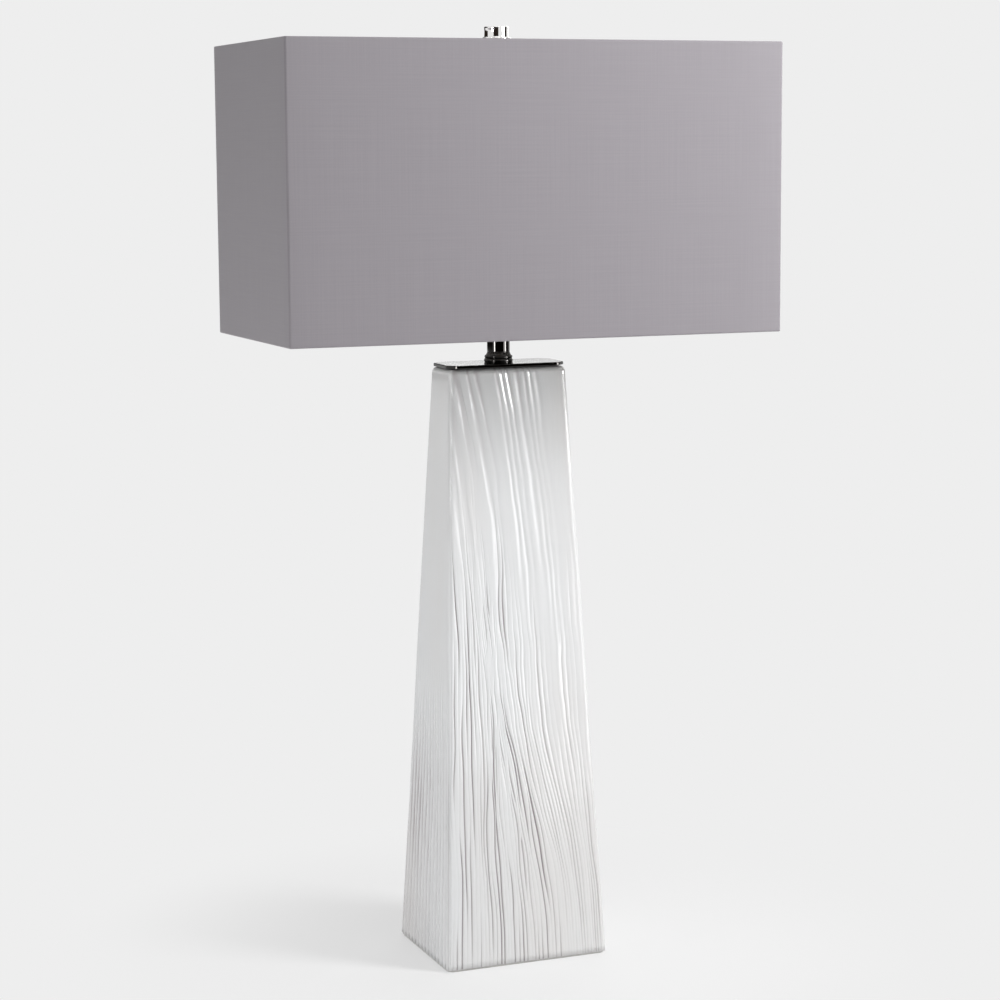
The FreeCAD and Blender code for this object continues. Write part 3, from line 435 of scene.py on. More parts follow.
def outward(mesh, weld=None):
    """Joins a closed mesh's points that lie within a weld, and turns its faces outwards."""
    shell = bmesh.new()
    shell.from_mesh(mesh)
    if weld:
        bmesh.ops.remove_doubles(shell, verts=shell.verts, dist=weld)
    bmesh.ops.recalc_face_normals(shell, faces=shell.faces)
    shell.to_mesh(mesh)
    shell.free()
    return mesh


def level_ring(flat, height):
    """A row of points in the plane, at one height."""
    return np.column_stack([flat, np.full(len(flat), height)])


def lathe(name, profile, sides=128):
    """A closed solid turned about Z from (radius, height) in metres, going round outwards."""
    angle = np.linspace(0, 2 * math.pi, sides, endpoint=False)
    circle = np.stack([np.cos(angle), np.sin(angle)], 1)
    return outward(rings(name, [level_ring(r * circle, z) for r, z in profile]), weld=1e-7)


def in_metres(profile):
    """A profile in metres from one in millimetres."""
    return [(r * MM, z * MM) for r, z in profile]


def arc(centre, radii, start, end, count):
    """Points on an arc, from one angle to another in degrees."""
    return [(centre[0] + radii[0] * math.cos(angle), centre[1] + radii[1] * math.sin(angle))
            for angle in np.radians(np.linspace(start, end, count))]


def softened(points, radius, steps=4, held=True):
    """A closed outline with its corners rounded off, and held by a point on either side."""
    points = [Vector(point) for point in points]
    done = []
    for before, corner, after in zip(points[-1:] + points[:-1], points, points[1:] + points[:1]):
        back, on = before - corner, after - corner
        reach = min(radius, back.length * 0.45, on.length * 0.45)
        back, on = back.normalized() * reach, on.normalized() * reach
        bend = [(corner + back) * (1 - t) ** 2 + corner * 2 * t * (1 - t) + (corner + on) * t ** 2
                for t in (i / steps for i in range(steps + 1))]
        done += [corner + back * 1.1, *bend, corner + on * 1.1] if held else bend
    return [tuple(point) for point in done]


def baked(name, tree, inputs):
    """The plain mesh that a Geometry Nodes tree makes with some inputs."""
    holder = linked(name, bpy.data.meshes.new(name))
    modifier = holder.modifiers.new(name, "NODES")
    modifier.node_group = tree
    for item in tree.interface.items_tree:
        if item.item_type == "SOCKET" and item.in_out == "INPUT" and item.name in inputs:
            modifier[item.identifier] = inputs[item.name]
    return applied(holder, name)


class Growth(Tree):
    """A Geometry Nodes tree with named inputs, which ends realised and in its material."""

    def __init__(self, name, **inputs):
        super().__init__(bpy.data.node_groups.new(name, "GeometryNodeTree"))
        face = self.node_tree.interface
        for label, kind in {"Geometry": "Geometry", **inputs, "Finish": "Material"}.items():
            face.new_socket(label, in_out="INPUT", socket_type="NodeSocket" + kind)
        face.new_socket("Geometry", in_out="OUTPUT", socket_type="NodeSocketGeometry")
        self.entry = self.node("NodeGroupInput")

    def given(self, label):
        return Wire(self, self.entry.outputs[label])

    def end(self, geometry):
        smooth = self.add("GeometryNodeSetShadeSmooth", {}, {"Geometry": geometry})
        real = self.add("GeometryNodeRealizeInstances", {}, {"Geometry": smooth})
        dressed = self.add("GeometryNodeSetMaterial", {},
                           {"Geometry": real, "Material": self.given("Finish")})
        self.node("NodeGroupOutput", {}, {0: dressed})
        return self.node_tree


def thread_tree():
    """A ridge that climbs a cylinder in a spiral, as a screw thread does."""
    tree = Growth("thread_ridge", Radius="Float", Low="Float", Length="Float", Turns="Float",
                  Ridge="Float", Steps="Int")
    spiral = tree.add("GeometryNodeCurveSpiral", {}, {
        "Resolution": tree.given("Steps"), "Rotations": tree.given("Turns"),
        "Start Radius": tree.given("Radius"), "End Radius": tree.given("Radius"),
        "Height": tree.given("Length"), "Reverse": True})
    lift = tree.add("ShaderNodeCombineXYZ", {}, {"Z": tree.given("Low")})
    raised = tree.add("GeometryNodeTransform", {}, {"Geometry": spiral, "Translation": lift})
    section = tree.add("GeometryNodeCurvePrimitiveCircle", {"mode": "RADIUS"},
                       {"Radius": tree.given("Ridge"), "Resolution": 8})
    ridge = tree.add("GeometryNodeCurveToMesh", {}, {
        "Curve": raised, "Profile Curve": section, "Fill Caps": True})
    return tree.end(ridge)


# ---------- the carved column
# half the width and depth at the foot and at the top, and the rounding of edges and shoulder
FOOT = (0.078, 0.064)
HEAD = (0.056, 0.024)
CORNER = 0.0045
SHOULDER = 0.005
SHOULDER_ANGLES = (18, 36, 54, 70, 84)
LEAST_CORNER = 0.8 * MM
# the four sides' lengths at the foot: front, right, back and left
SIDES = 2 * tuple(2 * half for half in FOOT)
# a turn is a place round the column: 0 at the front's left edge, and 1 more for each side
# how far round the lines have moved by half height, and then by the top, against their foot
LOW_DRIFT = ((0.0, 0.01), (0.2, 0.02), (0.34, 0.05), (0.45, 0.12), (0.58, 0.20), (0.72, 0.21),
             (0.84, 0.18), (0.91, 0.09), (1.0, 0.02), (1.3, 0.0), (2.0, 0.02), (2.2, 0.06),
             (2.4, 0.17), (2.6, 0.2), (2.8, 0.1), (3.0, 0.01), (3.6, 0.0))
HIGH_DRIFT = ((0.0, 0.13), (0.2, 0.27), (0.34, 0.30), (0.45, 0.30), (0.58, 0.28), (0.72, 0.21),
              (0.84, 0.18), (0.91, 0.14), (1.0, 0.03), (1.3, 0.0), (2.0, 0.1), (2.3, 0.25),
              (2.6, 0.22), (2.85, 0.12), (3.0, 0.02), (3.6, 0.02), (3.85, 0.08))
# the lines' sway: its size, its waves in a turn and in the height, and its phase
SWAYS = ((0.010, 1.0, 1.9, 0.6), (0.006, 3.0, -2.6, 2.1), (0.0048, 6.0, 4.7, 1.0),
         (0.0026, 11.0, -8.1, 4.0))
# how closely the flow may press lines together, as a share of their spacing at the foot
CLOSEST = 0.14
# the spacing, width and strength of lines and ribs, drawn between two values; lengths in mm
LINE_PITCHES, LINE_WIDTHS, LINE_STRENGTHS = (2.7, 5.6), (0.34, 0.62), (0.45, 1.0)
RIB_PITCH, RIB_WIDTHS, RIB_STRENGTHS = 8.8, (1.5, 2.1), (0.75, 1.0)
# how uneven the spacing is, and how much closer lines start where the flow opens out above
SPREAD = (0.94, 1.06)
CROWDING = 0.6
# from where the front's lines are fainter, as a share of its width, and how faint
FAINT_FROM, FAINT = 0.7, 0.6
# how open the flow has to be for a line to last, drawn between two values
LINE_ROOM = (0.25, 0.7)
# the least spacing, the width of the soft dip that goes with a line, and what counts as none
LEAST_PITCH = 2.4 * MM
DIP_WIDTH = 2.1 * MM
SLIVER = 1e-6
# how far from a line's middle it gets vertex columns, in mm, and how far apart they may be
LINE_STEPS = (0.0, 0.36, 0.72, 1.3)
WIDEST_GAP = 1.9 * MM
# how many a rib gets, and how much of the spacing a rib's and a line's take up
RIB_STEPS, RIB_SPAN, LINE_SPAN = 7, 0.75, 0.86
# shares of the height: where the low drift and the sway grow, where the high drift starts,
# where ribs and lines end, and where the folds deepen, first and again under the shoulder
LOW_RISE = (0.05, 0.48)
SWAY_RISE = (0.0, 0.2)
HIGH_FROM = 0.35
RIB_TOP = 0.45
LINE_TOPS = (0.44, 0.72)
FOLD_RISE = (0.38, 0.8)
SHOULDER_RISE = (0.87, 0.97)
# where the front's upper right grows smooth, going round and going up
SMOOTH_TURNS, SMOOTH_RISE = (0.62, 0.86), (0.6, 0.85)
# the ribs swell a quarter of the way up, and their painted shade there is darkest on the left
# side's front half
SWELL = (0.24, 0.12)
RIB_SHADE_LEFT = (3.2, 0.24)
# the deck's thickness and the height of the recess for the foot plate
DECK = 9 * MM
RECESS = 22 * MM
# half the width and depth of the hollow's top, of its foot and of the recess
HOLLOW_HEAD = (0.0487, 0.0167)
HOLLOW_FOOT = (0.0693, 0.0547)
RECESS_HALF = (0.073, 0.059)
# the drill for the cord's hole
DRILL_RADIUS = 5.8 * MM
DRILL_REACH = 0.02


def ease(value, low, high):
    """0 below low, 1 above high and a smooth rise between them."""
    t = np.clip((value - low) / (high - low), 0.0, 1.0)
    return t * t * (3 - 2 * t)


def outline_at(turn, half_width, half_depth, corner):
    """Points and outward directions round a rounded rectangle; a turn runs from 0 to 4."""
    turn = np.mod(turn, 4.0)
    side = np.floor(turn).astype(int)
    along = turn - side
    ends = np.array([(-1, -1), (1, -1), (1, 1), (-1, 1), (-1, -1)], float)
    start, end = ends[side], ends[side + 1]
    sharp = (start + (end - start) * along[:, None]) * (half_width, half_depth)
    core = np.clip(sharp, (-half_width + corner, -half_depth + corner),
                   (half_width - corner, half_depth - corner))
    out = sharp - core
    out /= np.linalg.norm(out, axis=1)[:, None]
    return core + out * corner, out


def drift_amount(knots, turn):
    """A share read off a table round the column, with its kinks smoothed."""
    where, amount = zip(*knots)
    return sum(np.interp(turn + k * 0.014, where, amount, period=4.0)
               for k in range(-3, 4)) / 7


def flow(foot_turn, rise):
    """Each vertex column's turn at each height; the columns never cross."""
    up = rise[:, None]
    low = drift_amount(LOW_DRIFT, foot_turn) * ease(up, *LOW_RISE)
    late = np.clip((up - HIGH_FROM) / (1 - HIGH_FROM), 0, 1)
    high = drift_amount(HIGH_DRIFT, foot_turn) * (0.25 * late + 0.75 * late ** 3)
    sway = sum(size * np.sin(2 * math.pi * (around * foot_turn + climb * up) + phase)
               for size, around, climb, phase in SWAYS)
    # the long faces sway, and the short ones stay upright
    facing = foot_turn - 0.5
    faces = ease(np.cos(2 * math.pi * facing) * np.cos(math.pi * facing) ** 2, -0.6, 0.3)
    turn = foot_turn - low - high + sway * faces * ease(up, *SWAY_RISE)
    step = np.diff(np.append(foot_turn, foot_turn[0] + 4.0))
    gone = np.diff(np.concatenate([turn, turn[:, :1] + 4.0], axis=1), axis=1)
    gone = np.maximum(gone, CLOSEST * step)
    gone *= 4.0 / gone.sum(axis=1)[:, None]
    before = np.cumsum(gone, 1)[:, :-1]
    return turn[:, :1] + np.concatenate([np.zeros((len(rise), 1)), before], 1)


def carved_lines(chance):
    """The vertex columns from groove to groove, and how many grooves there are.

    A vertex column is its turn at the foot, its offset from the groove's middle, and the
    groove's strength, width and number.
    """
    spread = np.linspace(0.0, 4.0, 1601)[:-1]
    mid = flow(spread, np.array([0.0, 0.5]))
    opened = np.gradient(mid[1]) / np.gradient(mid[0])
    columns = []
    number = 0
    for side, length in enumerate(SIDES):
        ribbed = side in (1, 3)
        widths, strengths = ((RIB_WIDTHS, RIB_STRENGTHS) if ribbed
                             else (LINE_WIDTHS, LINE_STRENGTHS))
        place = 0.0
        while place < length - SLIVER:
            crowd = max(1.0, float(np.interp(side + place / length, spread, opened)))
            pitch = (RIB_PITCH * MM if ribbed
                     else chance.uniform(*LINE_PITCHES) * MM / crowd ** CROWDING)
            pitch *= chance.uniform(*SPREAD)
            if length - place - pitch < LEAST_PITCH:
                pitch = length - place
            half = pitch / 2
            width = chance.uniform(*widths) * MM
            strength = chance.uniform(*strengths)
            if side == 0 and place > FAINT_FROM * length:
                strength *= FAINT
            if ribbed:
                gaps = list(np.linspace(-half * RIB_SPAN, half * RIB_SPAN, RIB_STEPS))
            else:
                steps = [step * MM for step in LINE_STEPS if step * MM < half * LINE_SPAN]
                gaps = sorted({-step for step in steps} | set(steps))
            for gap in [-half] + gaps:
                columns.append((side + (place + half + gap) / length, gap, strength, width,
                                number))
            number += 1
            place += pitch
    return opened_out(np.array(columns, float)), number


def opened_out(columns):
    """The vertex columns with more between them where the flow opens out at the top."""
    top = flow(columns[:, 0], np.array([0.0, 1.0]))[1]
    extra = []
    for i in range(len(columns) - 1):
        pieces = int((top[i + 1] - top[i]) * (2 * HEAD[0]) / WIDEST_GAP)
        same = columns[i, 4] == columns[i + 1, 4]
        end = columns[i + 1, 1] if same else -columns[i, 1]
        for k in range(1, pieces + 1):
            share = k / (pieces + 1)
            line = columns[i].copy()
            line[0] += (columns[i + 1, 0] - columns[i, 0]) * share
            line[1] += (end - line[1]) * share
            extra.append(line)
    columns = np.vstack([columns, *extra])
    return columns[np.argsort(columns[:, 0], kind="stable")]


def bell(value, middle, width):
    """1 at the middle, falling off on both sides."""
    return np.exp(-((value - middle) / width) ** 2)


def line_life(opened, which, number, along, chance):
    """How each line comes and goes, ends where the flow is too tight for it, and ends on top."""
    phase = chance.uniform(0, 2 * math.pi, (number, 3))
    pace = chance.uniform(0.8, 3.0, (number, 3))
    fade = sum(np.sin(2 * math.pi * pace[which, k] * along + phase[which, k]) for k in range(3))
    room = chance.uniform(*LINE_ROOM, number)[which]
    tops = chance.uniform(*LINE_TOPS, number)[which]
    return ((0.22 + 0.78 * ease(fade, -1.5, 1.0)) * ease(opened - room, -0.12, 0.12)
            * ease(tops - along, -0.14, 0.14))


def under_plate(turn, along):
    """Soft folds, spaced at the top and carried down with the flow, and their valleys."""
    top = turn[-1]
    count = (12.5 * top + 0.55 * np.sin(2 * math.pi * 1.5 * top + 1.0)
             + 0.3 * np.sin(2 * math.pi * 4.0 * top + 2.0))
    valley = (0.5 + 0.5 * np.cos(2 * math.pi * count)) ** 1.3
    shallow = 0.5 + 0.5 * np.cos(2 * math.pi * 0.37 * count + 1.3)
    depth = 0.45 + 0.55 * np.sin(2 * math.pi * (2.3 * top + 1.1 * along) + 0.4) ** 2
    deepen = 0.58 * ease(along, *FOLD_RISE) + 0.42 * ease(along, *SHOULDER_RISE)
    return deepen * (0.72 * valley * depth + 0.28 * shallow), valley


def relief(columns, number, turn, rise, chance):
    """How far the surface lies inside the plain outline, in metres, and how much thin glaze and
    painted shade each place gets.
    """
    settings = sizes()
    foot_turn, gap, strength, width, which = columns.T
    along = rise[:, None]
    place = np.mod(turn, 4.0)
    # the long faces carry lines, and the short ones ribs on their lower half
    wide = ease(np.cos(2 * math.pi * (np.mod(turn, 2.0) - 0.5) / 2.0), -0.06, 0.10)
    opened = np.gradient(turn, axis=1) / np.gradient(foot_turn)
    reach = np.abs(gap) * (1 - 0.25 * along) * np.maximum(opened, 0.6)
    carved = (strength * line_life(opened, which.astype(int), number, along, chance)
              * (0.68 * bell(reach, 0, width) + 0.32 * bell(reach, 0, DIP_WIDTH)))
    ribs = ease(RIB_TOP - along, -0.08, 0.14) * (0.72 + 0.28 * bell(along, *SWELL))
    ribbed = strength * ribs * np.exp(-(np.abs(gap) / (1.35 * width)) ** 1.7)
    folds, valley = under_plate(turn, along)
    # the front's upper right stays smooth, and the back's has folds
    folded = wide * (1 - ease(place, *SMOOTH_TURNS) * ease(along, *SMOOTH_RISE) * (place < 1.5))
    deep = (wide * carved * settings.groove_depth + (1 - wide) * ribbed * settings.rib_depth
            + folded * folds * settings.fold_depth)
    # thin glaze with painted shade in the lines and the ribs' valleys, darkest on the left side's
    # front ribs; painted shade in the folds' valleys and a painted shadow along the shoulder under
    # the plate
    bared_and_shaded = 0.52 + 0.3 * bell(place, *RIB_SHADE_LEFT) * bell(along, *SWELL)
    drained_and_shaded = (folded * valley * 0.3 * ease(along, 0.62, 0.95) + 0.12 * ease(along, 0.9, 1.0)
               + wide * carved + (1 - wide) * ribbed * bared_and_shaded)
    return deep, np.clip(drained_and_shaded, 0, 1)


def build_column():
    """The column's glazed skin with its carved lines, its hollow and its pipe hole."""
    chance = np.random.default_rng(sizes().seed)
    columns, number = carved_lines(chance)
    foot_turn = columns[:, 0]
    low, high = COLUMN[0][2], COLUMN[1][2]
    height = high - low
    shoulder = SHOULDER / height
    straight = np.linspace(0.0, 1.0 - shoulder, sizes().rows)
    bend = np.radians(SHOULDER_ANGLES)
    rise = np.concatenate([straight, 1.0 - shoulder * (1 - np.sin(bend))])
    inset = np.concatenate([np.zeros(len(straight)), SHOULDER * (1 - np.cos(bend))])
    turn = flow(foot_turn, rise)
    deep, groove = relief(columns, number, turn, rise, chance)
    rows = []
    for i, share in enumerate(rise):
        half_width, half_depth = (foot + (head - foot) * share - inset[i]
                                  for foot, head in zip(FOOT, HEAD))
        corner = max(CORNER - inset[i], LEAST_CORNER)
        flat, out = outline_at(turn[i], half_width, half_depth, corner)
        rows.append(level_ring(flat - out * deep[i][:, None], low + share * height))
    # over the top, down the pipe hole, under the deck, down the hollow and out by the foot
    away = rows[-1][:, :2] / np.linalg.norm(rows[-1][:, :2], axis=1)[:, None]
    rows += [level_ring(away * BORE, level) for level in (high, high - DECK)]
    for half, level, where in ((HOLLOW_HEAD, high - DECK, turn[-1]),
                               (HOLLOW_FOOT, low + RECESS, foot_turn),
                               (RECESS_HALF, low + RECESS, foot_turn),
                               (RECESS_HALF, low, foot_turn)):
        rows.append(level_ring(outline_at(where, *half, CORNER)[0], level))
    mesh = rings("column_glazed", rows)
    # the thin glaze and painted shade from relief, kept on the points as the groove attribute
    thin_glaze_and_shade = mesh.attributes.new("groove", "FLOAT", "POINT")
    filled = np.zeros(len(mesh.vertices))
    filled[:groove.size] = groove.ravel()
    thin_glaze_and_shade.data.foreach_set("value", filled)
    return mesh


class LAMP_OT_column(bpy.types.Operator):
    """Make the glazed column with its carved, flowing lines"""
    bl_idname = "lamp.column"
    bl_label = "Glazed Column"

    def execute(self, context):
        holder = linked("column_raw", build_column())
        drill = lathe("cord_drill", [(0.0, -DRILL_REACH), (DRILL_RADIUS, -DRILL_REACH),
                                     (DRILL_RADIUS, DRILL_REACH), (0.0, DRILL_REACH)], sides=48)
        inlet = next(m for m in frame["record"]["mounts"] if m["name"] == "cord_inlet")
        aim = Vector(inlet["axis"]).to_track_quat("Z", "Y").to_matrix().to_4x4()
        drill.transform(Matrix.Translation(inlet["pos_m"]) @ aim)
        bit = linked("cord_drill", drill)
        hole = holder.modifiers.new("cord_hole", "BOOLEAN")
        hole.operation, hole.object, hole.solver = "DIFFERENCE", bit, "EXACT"
        drilled = applied(holder, "column_glazed")
        bpy.data.objects.remove(bit)
        put("column_glazed", drilled, white_glaze, "base", "glaze", "column")
        return {"FINISHED"}


# ---------- plate, neck and finial
# the plate's thickness, its clipped corners and their rounding, and how its edges are eased
PLATE_THICK = 3 * MM
PLATE_CLIP = 8.0 * MM
PLATE_CORNER = 2.2 * MM
PLATE_EDGE = 0.55 * MM
PLATE_BEVEL = 0.16 * MM


def plate_outline(half):
    """A rectangle with its corners clipped and rounded."""
    corners = []
    for across, deep in ((1, -1), (1, 1), (-1, 1), (-1, -1)):
        ends = [(across * (half.x - PLATE_CLIP), deep * half.y),
                (across * half.x, deep * (half.y - PLATE_CLIP))]
        corners += ends if across * deep < 0 else ends[::-1]
    return np.array(softened(corners, PLATE_CORNER, steps=5, held=False))


def plate():
    """The top plate with its edges rounded and its hole for the pipe."""
    lowest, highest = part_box("top_plate")
    half = (highest - lowest) / 2
    shape = plate_outline(half)
    hole = shape / np.linalg.norm(shape, axis=1)[:, None] * BORE
    inward = np.sign(shape) * np.minimum(1, np.abs(shape / np.array([half.x, half.y])))
    rise = ((PLATE_EDGE, 0), (PLATE_BEVEL, PLATE_BEVEL), (0, PLATE_EDGE))
    edge = rise + tuple((inset, PLATE_THICK - level) for inset, level in reversed(rise))
    rows = [level_ring(shape - inward * inset, lowest.z + level) for inset, level in edge]
    return rings("top_plate_polished", [level_ring(hole, lowest.z), *rows,
                                        level_ring(hole, lowest.z + PLATE_THICK)])


class LAMP_OT_neck(bpy.types.Operator):
    """Make the dark top plate with its clipped corners, and the turned neck"""
    bl_idname = "lamp.neck"
    bl_label = "Plate and Neck"

    def execute(self, context):
        put("top_plate_polished", plate(), dark_nickel, "base", "dark_plate", "top_plate",
            smooth=False)

        bore = BORE / MM
        low, _ = heights("neck_collar")
        flare = [(10.2 + 1.5 * (1 - t) ** 2.2, low + 6.5 + 3.3 * t)
                 for t in (i / 8 for i in range(9))]
        collar = in_metres([
            (bore, low), (12.9, low), *arc((12.35, low + 1.7), (0.75, 1.6), -78, 78, 13),
            (12.3, low + 3.55), *arc((11.75, low + 5.0), (0.85, 1.35), -75, 75, 11),
            *flare, (bore, low + 9.8)])
        low, high = heights("neck_tube")
        tube = softened(in_metres([(8.9, low), (10.2, low), (10.2, high - 0.4), (9.8, high),
                                   (8.9, high)]), 0.2 * MM)
        low, high = heights("neck_ring")
        ring = softened(in_metres([(bore, low), (11.4, low), (11.4, high), (bore, high)]),
                        0.5 * MM)
        for node, profile in (("neck_collar", collar), ("neck_tube", tube), ("neck_ring", ring)):
            name = node + "_polished"
            put(name, lathe(name, profile), dark_nickel, "base", "dark_nickel", node)
        return {"FINISHED"}


class LAMP_OT_finial(bpy.types.Operator):
    """Make the polished, waisted finial"""
    bl_idname = "lamp.finial"
    bl_label = "Finial"

    def execute(self, context):
        low, high = heights("finial")
        waist = [(10.8 - 0.22 * math.sin(math.pi * t) ** 1.2, low + 18.9 + 8.2 * t)
                 for t in (i / 12 for i in range(13))]
        shape = [(4.4, low), (7.4, low), (7.4, low + 2.4), (5.8, low + 4.2), (5.8, low + 13.3),
                 *arc((11.8, low + 13.4), (-6.0, 3.5), 0, 90, 9),
                 *arc((11.8, low + 17.8), (0.75, 0.75), -75, 75, 7), (10.9, low + 18.75), *waist,
                 *arc((10.0, high - 0.8), (0.8, 0.8), 15, 90, 6),
                 (0.0, high), (0.0, low + 14), (4.4, low + 14)]
        put("finial_polished", lathe("finial_polished", in_metres(shape)), nickel, "finial",
            "nickel", "finial")
        return {"FINISHED"}


# ---------- shade
# how thick the fabric is, and how far its mid line lies inside the cover, in mm
CLOTH = 0.54
INSIDE = 0.3
# the bend round the shade's upright edges, outside, and the least one inside
SHADE_BEND = 2.2 * MM
INNER_BEND = 0.5 * MM
# the lap at the back: its start in turns, its width and its edge as shares of the side, its rise
SEAM = 2.055
LAP = 0.026
LAP_EDGE = 0.0012
LAP_RISE = 0.45 * MM


def cover_section():
    """The fabric's line from hem to hem: how far in from the outside, and the height, in mm."""
    low, high = heights("shade_cover")
    hem = sizes().turn_in / MM
    # from the liner's inner face out round the frame's wire and up to the outer wall
    edge = [(2.0, hem), (2.05, hem * 0.75), (2.6, hem * 0.55), (4.3, 4.0), (5.0, 2.6), (5.05, 1.5),
            (4.75, 0.5), (4.1, -0.12), (3.2, -0.3), (2.0, -0.3), (1.1, -0.28), (0.55, -0.1),
            (0.32, 0.35), (INSIDE, 1.0), (INSIDE, 3.0)]
    return ([(inset, low + rise) for inset, rise in edge]
            + [(INSIDE, low + (high - low) * k / 6) for k in range(1, 6)]
            + [(inset, high - rise) for inset, rise in reversed(edge)])


def shade_turns(width, depth):
    """The places round the shade for the fabric's points, close at its edges and its lap."""
    turns = [SEAM + k * LAP_EDGE / 3 for k in range(4)]
    turns += [SEAM + LAP + 0.005 * k for k in range(8)]
    for side, length in enumerate((width, depth, width, depth)):
        near = SHADE_BEND / length
        turns += [side + near * k / 4 for k in range(4)]
        turns += list(np.linspace(side + near, side + 1 - near, 14))
        turns += [side + 1 - near * k / 4 for k in (3, 2, 1)]
    return np.array(sorted(turns))


def lap(turn):
    """How far the overlapping end of the fabric stands out at the seam."""
    return (LAP_RISE * ease(turn, SEAM, SEAM + LAP_EDGE)
            * (1 - ease(turn, SEAM + LAP, SEAM + 2.2 * LAP)))


class LAMP_OT_shade(bpy.types.Operator):
    """Make the shade's fabric, turned in over the wire at both rims and lapped at the back"""
    bl_idname = "lamp.shade"
    bl_label = "Shade Fabric"

    def execute(self, context):
        width, depth, tall = COVER[1] - COVER[0]
        turns = shade_turns(width, depth)
        centre = np.array(cover_section())
        along = np.gradient(centre, axis=0)
        normal = np.stack([-along[:, 1], along[:, 0]], 1) / np.linalg.norm(along, axis=1)[:, None]
        face = centre + normal * CLOTH / 2
        back = centre - normal * CLOTH / 2
        rows = []
        for inset, level in np.vstack([face, back[::-1]]) * MM:
            flat, out = outline_at(turns, width / 2 - inset, depth / 2 - inset,
                                   max(SHADE_BEND - inset, INNER_BEND))
            # the lap stands out on the outer wall alone
            if inset < 1.0 * MM:
                flat = flat + out * lap(turns)[:, None]
            rows.append(level_ring(flat, level))
        fabric = outward(rings("shade_fabric", rows))
        piece = put("shade_fabric", fabric, shade_fabric, "shade", "linen", "shade_cover")
        return {"FINISHED"}


# ---------- screw threads
THREAD_STEPS = 48
# name, body, slot, finish, radius, bottom, length, turns and ridge, with lengths in mm
THREADS = (
    ("bulb_cap_thread", "bulb", "bulb_cap", cap_aluminium, 12.92, 636.4, 15.6, 4.4, 0.45),
    ("pipe_thread_low", "base", "pipe_steel", oiled_steel, 5.02, 11.9, 1.5, 1.6, 0.2),
    ("pipe_thread_high", "base", "pipe_steel", oiled_steel, 5.02, 594.6, 5.4, 5.7, 0.2),
)


class LAMP_OT_threads(bpy.types.Operator):
    """Wind the screw threads of the bulb's cap and of the pipe's ends"""
    bl_idname = "lamp.threads"
    bl_label = "Screw Threads"

    def execute(self, context):
        tree = thread_tree()
        for name, body, slot, maker, radius, low, length, turns, ridge in THREADS:
            thread = baked(name, tree, {
                "Radius": radius * MM, "Low": low * MM, "Length": length * MM, "Turns": turns,
                "Ridge": ridge * MM, "Steps": THREAD_STEPS, "Finish": finish(maker)})
            put(name, thread, maker, body, slot)
        return {"FINISHED"}


# ---------- CAD pieces that stay
KEPT = {
    "base_felt": felt, "base_plate": zinc, "inlet_bushing": nylon, "lamp_pipe": oiled_steel,
    "foot_washer": zinc, "foot_lock_washer": zinc, "foot_nut": zinc,
    "plate_gasket": gasket_rubber, "saddle": zinc, "saddle_nut": brass, "harp": satin_nickel,
    "ferrule_left": satin_nickel, "ferrule_right": satin_nickel, "harp_stud": brass,
    "socket_cap": brass, "socket_set_screw": zinc, "socket_shell": brass,
    "socket_sleeve": sleeve_board, "socket_body": phenolic, "screw_shell": brass,
    "centre_contact": brass, "terminal_screws": brass, "switch_shaft": zinc,
    "switch_knob": knob_black, "bulb_glass": frosted_glass, "bulb_cap": cap_aluminium,
    "bulb_insulator": black_glass, "bulb_tip": solder, "bulb_stem": clear_glass,
    "bulb_filament": tungsten, "shade_liner": styrene, "shade_top_frame": white_paint,
    "shade_bottom_frame": white_paint, "spider_hub": zinc, "finial_insert": brass,
}


class LAMP_OT_fittings(bpy.types.Operator):
    """Give every remaining CAD piece its finish"""
    bl_idname = "lamp.fittings"
    bl_label = "Fittings"

    def execute(self, context):
        for node, maker in KEPT.items():
            piece = frame["nodes"][node]
            piece.data.materials.clear()
            piece.data.materials.append(finish(maker))
        return {"FINISHED"}


# ---------- stage
# the camera's sensor in mm, and its focal length in sensor widths
SENSOR = 36.0
CAMERA_FOCUS = 2.52772
CAMERA_PLACE = (-0.84012, -2.11066, 0.72981)
CAMERA_TURN = (1.43332, 0.00649, -0.37994)
# how bright the backdrop looks, how much light comes from all round, and the floor's own grey
BACKDROP = 0.855
AMBIENT = 0.405
FLOOR = 0.9
FLOOR_REACH = 40.0
# how far from the middle the floor pales, and how pale it is there
SHADOW_REACH = (0.1, 0.42)
PALE_NEAR = 0.55
# the soft boxes: name, place, what they face, width, height, power, and gloss only
LIGHTS = (
    ("key", (0.85, -0.72, 1.24), (0.0, 0.0, 0.5), 0.35, 0.92, 15.3),
    ("low_glint", (0.78, -0.95, 0.12), (0.0, 0.0, 0.12), 0.35, 0.18, 1.3, True),
    ("neck_glint", (0.78, -0.95, 0.375), (0.0, 0.0, 0.375), 0.35, 0.33, 1.5, True),
    ("key_glint", (1.0, -0.75, 0.485), (0.0, 0.0, 0.485), 0.22, 0.1, 2.1, True),
    ("key_glint_high", (1.0, -0.75, 0.635), (0.0, 0.0, 0.6), 0.22, 0.07, 1.6, True),
    ("fold_glint", (0.78, -0.95, 0.597), (0.0, 0.0, 0.597), 0.35, 0.03, 0.36, True),
    ("shoulder_glint", (0.78, -0.95, 0.74), (0.0, 0.0, 0.54), 0.35, 0.16, 0.6, True),
    ("collar_glint", (1.0, -0.75, 0.75), (0.0, 0.0, 0.54), 0.22, 0.16, 7.0, True),
    ("collar_glint_left", (-1.098, -0.608, 0.75), (0.0, 0.0, 0.54), 0.22, 0.16, 7.0, True),
    ("side", (-1.1, -0.15, 0.2), (0.0, 0.0, 0.25), 0.5, 0.3, 2.3),
    ("side_glint", (-1.098, -0.608, 0.485), (0.0, 0.0, 0.485), 0.22, 0.1, 2.1, True),
    ("top", (-0.1, -0.9, 1.9), (0.0, 0.0, 0.5), 0.9, 0.5, 2.5),
    ("back", (0.9, 1.6, 1.1), (0.0, 0.0, 0.45), 1.2, 0.8, 8.0),
)
